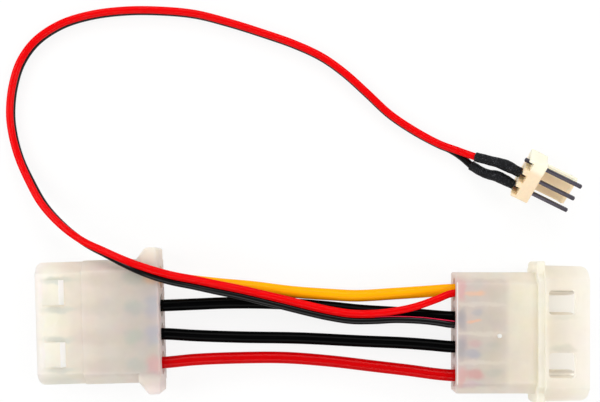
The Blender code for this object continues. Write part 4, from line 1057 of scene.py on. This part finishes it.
def swept_tree():
    """Geometry Nodes that sweep a round section along a route, scaled by the route's radius."""
    tree = bpy.data.node_groups.new("swept_round", "GeometryNodeTree")
    for name, kind in (("Route", "Geometry"), ("Sides", "Int"), ("Caps", "Bool"), ("Lumps", "Float"),
                       ("Lump Size", "Float"), ("Surface", "Material")):
        tree.interface.new_socket(name, in_out="INPUT", socket_type=f"NodeSocket{kind}")
    tree.interface.new_socket("Swept", in_out="OUTPUT", socket_type="NodeSocketGeometry")
    given = add(tree, "NodeGroupInput").outputs
    length = out(tree, "GeometryNodeSplineParameter", output="Length")
    route = out(tree, "GeometryNodeStoreNamedAttribute",
                {"Geometry": given["Route"], "Name": "along", "Value": length}, data_type="FLOAT")
    circle = out(tree, "GeometryNodeCurvePrimitiveCircle", {"Resolution": given["Sides"], "Radius": 1.0},
                 "Curve")
    place = out(tree, "GeometryNodeInputPosition")
    round_section = out(tree, "GeometryNodeStoreNamedAttribute",
                        {"Geometry": circle, "Name": "across", "Value": place}, data_type="FLOAT_VECTOR")
    radius = out(tree, "GeometryNodeInputRadius")
    swept = out(tree, "GeometryNodeCurveToMesh", {"Curve": route, "Profile Curve": round_section,
                                                  "Scale": radius, "Fill Caps": given["Caps"]})
    normal = out(tree, "GeometryNodeInputNormal")
    lump = noise(tree, place, math_node(tree, "DIVIDE", 1.0, given["Lump Size"]), 1.0)
    push = math_node(tree, "MULTIPLY", math_node(tree, "SUBTRACT", lump, 0.5), given["Lumps"])
    offset = vector_node(tree, "SCALE", {0: normal, "Scale": push})
    moved = out(tree, "GeometryNodeSetPosition", {"Geometry": swept, "Offset": offset})
    real = out(tree, "GeometryNodeRealizeInstances", {0: moved})
    dressed = out(tree, "GeometryNodeSetMaterial", {"Geometry": real, "Material": given["Surface"]})
    add(tree, "NodeGroupOutput", {"Swept": dressed})
    return tree


SWEPT = swept_tree()


def swept_mesh(name, path, sides, surface, caps=True, lumps=0.0, lump_size=1.0):
    """A round piece along a path of (point, radius)."""
    curve = bpy.data.curves.new(name, "CURVE")
    curve.dimensions = "3D"
    spline = curve.splines.new("POLY")
    spline.points.add(len(path) - 1)
    for point, (place, radius) in zip(spline.points, path):
        point.co = (*place, 1)
        point.radius = radius
    holder = bpy.data.objects.new(name, curve)
    workshop.objects.link(holder)
    sweep = holder.modifiers.new("swept", "NODES")
    sweep.node_group = SWEPT
    given = {"Sides": sides, "Caps": caps, "Lumps": lumps, "Lump Size": lump_size, "Surface": surface}
    for item in SWEPT.interface.items_tree:
        if item.name in given:
            sweep[item.identifier] = given[item.name]
    mesh = evaluated_mesh(holder)
    bpy.data.objects.remove(holder, do_unlink=True)
    with reworked(mesh) as body:
        bmesh.ops.recalc_face_normals(body, faces=body.faces)
    return mesh


def covered_ends(route, radius):
    """Insulation's path, with its cut ends just rounded."""
    near = (route[1] - route[0]).normalized() * CUT_LIP
    far = (route[-1] - route[-2]).normalized() * CUT_LIP
    return [(route[0], radius - CUT_LIP), (route[0] + near, radius),
            *((point, radius) for point in route[1:-1]),
            (route[-1] - far, radius), (route[-1], radius - CUT_LIP)]


def bare_strands(name, path, diameter, cord, slot_name):
    """Bare copper, twisted and tinned, along straight steps."""
    mesh = swept_mesh("strands", [(place, diameter / 2) for place in path], SIDES[f"{cord}_strands"],
                      tinned_copper)
    return show(name, mesh, tinned_copper, slot_name)


def power_wires():
    surfaces = {"12v": (yellow_pvc, "yellow"), "ground_a": (black_pvc, "black"),
                "ground_b": (black_pvc, "black"), "5v": (red_pvc, "red")}
    for circuit, (surface, colour) in surfaces.items():
        across, up = SHARED_WIRE.get(circuit, (0, 0))
        depths = (INSULATION_END, INSULATION_END / 2, -MM / 2)
        route = [*(socket_point(circuit, depth) for depth in depths), *WIRE_ROUTES[circuit],
                 *(pin_point(circuit, depth, across, up) for depth in reversed(depths))]
        centre = smooth_route(route, SPACING["wire"])
        mesh = swept_mesh(f"wire_{circuit}", covered_ends(centre, WIRE_DIAMETER / 2), SIDES["wire"], surface)
        piece = show(f"insulated_wire_{circuit}_{colour}", mesh, surface, f"{colour}_pvc",
                     f"wire_{circuit}_{colour}")
        bare = [socket_point(circuit, depth) for depth in (WIRE_CRIMP_START, INSULATION_END + STRIP_STEP)]
        bare_end = [pin_point(circuit, depth, across, up)
                    for depth in (INSULATION_END + STRIP_STEP, WIRE_CRIMP_START)]
        strands = [bare_strands(f"strands_{circuit}_{end}", path, WIRE_COPPER, "wire", f"{colour}_pvc")
                   for end, path in (("socket", bare), ("pin", bare_end))]


def pair_places(colour):
    side = 1 if colour == "red" else -1
    reach = (LEAD_DIAMETER + LEAD_GAP) / 2
    middles = [Vector(point[:3]) for point in PAIR_ROUTE]
    places = []
    for k, middle in enumerate(middles):
        along = (middles[min(k + 1, len(middles) - 1)] - middles[max(k - 1, 0)]).normalized()
        right = Vector((along.y, -along.x, 0)).normalized()
        upright = right.cross(along)
        lean = math.radians(PAIR_ROUTE[k][3])
        places.append(middle + side * reach * (math.cos(lean) * upright + math.sin(lean) * right))
    return places


def sleeve_route(colour):
    pin = LEAD_PINS[colour]
    return [*SLEEVE_ROUTES[colour],
            header_point(pin, -HEADER_BASE - TAIL_LENGTH - SLEEVE_WALL, SLEEVE_OFFSET),
            header_point(pin, -HEADER_BASE - SLEEVE_END_GAP, SLEEVE_OFFSET)]


def lead_web():
    """The web that bonds the leads, torn off the black one where they part."""
    bond = smooth_route([point[:3] for point in PAIR_ROUTE], SPACING["web"])
    torn = smooth_route([bond[0], *TORN_WEB], SPACING["web"])
    web = swept_mesh("web", [(point, WEB_THICKNESS / 2) for point in bond], SIDES["web"], bright_red_pvc)
    sliver = swept_mesh("sliver", [(point, SLIVER_THICKNESS / 2) for point in torn], SIDES["sliver"],
                        torn_pvc)
    return [show("web_between_leads", web, bright_red_pvc, "red_pvc"),
            show("torn_web", sliver, torn_pvc, "red_pvc")]


def lead_strands(colour, covered_end, ahead):
    """A lead's bare copper: beside the wire's in the crimp, and beside the header pin's tail."""
    circuit, pin = LEAD_CIRCUITS[colour], LEAD_PINS[colour]
    lead, wire = Vector(SHARED_LEAD[circuit]), Vector(SHARED_WIRE[circuit])
    strand = wire + (lead - wire).normalized() * (WIRE_COPPER / 2 + LEAD_COPPER / 2 + CRIMP_CLEARANCE)
    crimped = [pin_point(circuit, WIRE_CRIMP_START, *strand),
               pin_point(circuit, WIRE_CRIMP[0] + 3 * STRIP_STEP, *strand),
               pin_point(circuit, INSULATION_END + STRIP_STEP, *lead)]
    joined = [covered_end + (ahead - covered_end).normalized() * STRIP_STEP,
              header_point(pin, -HEADER_BASE - TAIL_LENGTH - LEAD_COPPER, JOINT_OFFSET),
              header_point(pin, -HEADER_BASE - TAIL_LENGTH / 4, JOINT_OFFSET)]
    return [bare_strands(f"strands_lead_{colour}_{end}", path, LEAD_COPPER, "lead", f"{colour}_pvc")
            for end, path in (("crimp", crimped), ("joint", joined))]


def fan_leads(moulding, posts):
    for colour, surface in (("red", bright_red_pvc), ("black", lead_black_pvc)):
        circuit = LEAD_CIRCUITS[colour]
        across, up = SHARED_LEAD[circuit]
        start = [pin_point(circuit, depth, across, up)
                 for depth in (INSULATION_END, INSULATION_END / 2, -MM / 2)]
        inside = smooth_route(sleeve_route(colour), LEAD_DIAMETER / 2)
        gripped = round(SLEEVE_GRIP / (LEAD_DIAMETER / 2))
        route = [*start, *LEAD_SPLIT[colour], *pair_places(colour), *LEAD_FORK[colour], inside[0]]
        centre = smooth_route(route, SPACING["lead"]) + inside[1:gripped + 1]
        mesh = swept_mesh(f"lead_{colour}", covered_ends(centre, LEAD_DIAMETER / 2), SIDES["lead"], surface)
        piece = show(f"insulated_fan_lead_{colour}", mesh, surface, f"{colour}_pvc", f"fan_lead_{colour}")
        sleeve = heat_shrink_sleeve(colour)
        strands = lead_strands(colour, inside[gripped], inside[gripped + 1])
        with_pieces = [sleeve, *strands, *([moulding, *posts, *lead_web()] if colour == "red" else [])]


def heat_shrink_sleeve(colour):
    inner = LEAD_DIAMETER / 2 + SLEEVE_CLEARANCE
    places = smooth_route(sleeve_route(colour), SPACING["sleeve"])
    path = []
    for k, place in enumerate(places):
        share = k / (len(places) - 1)
        swell = SLEEVE_LUMP * math.exp(-((share - LUMP_PLACE) / LUMP_SPREAD) ** 2)
        path.append((place, inner + swell))
    mesh = swept_mesh(f"sleeve_{colour}", path, SIDES["sleeve"], heat_shrink, caps=False,
                      lumps=LUMP_HEIGHT, lump_size=LUMP_SIZE)
    tube = tool(f"tube_{colour}", mesh, Matrix.Identity(4))
    wall = tube.modifiers.new("wall", "SOLIDIFY")
    wall.thickness = SLEEVE_WALL
    wall.offset = 1
    return show(f"heat_shrink_{colour}", evaluated_mesh(tube), heat_shrink, "heat_shrink",
                f"sleeve_{colour}_lead", sharp=60)


power_wires()
header_moulding, header_posts = header()
fan_leads(header_moulding, header_posts)
socket_housing()
pin_housing()
terminals()

for item in list(workshop.objects):
    bpy.data.objects.remove(item, do_unlink=True)
bpy.data.collections.remove(workshop)
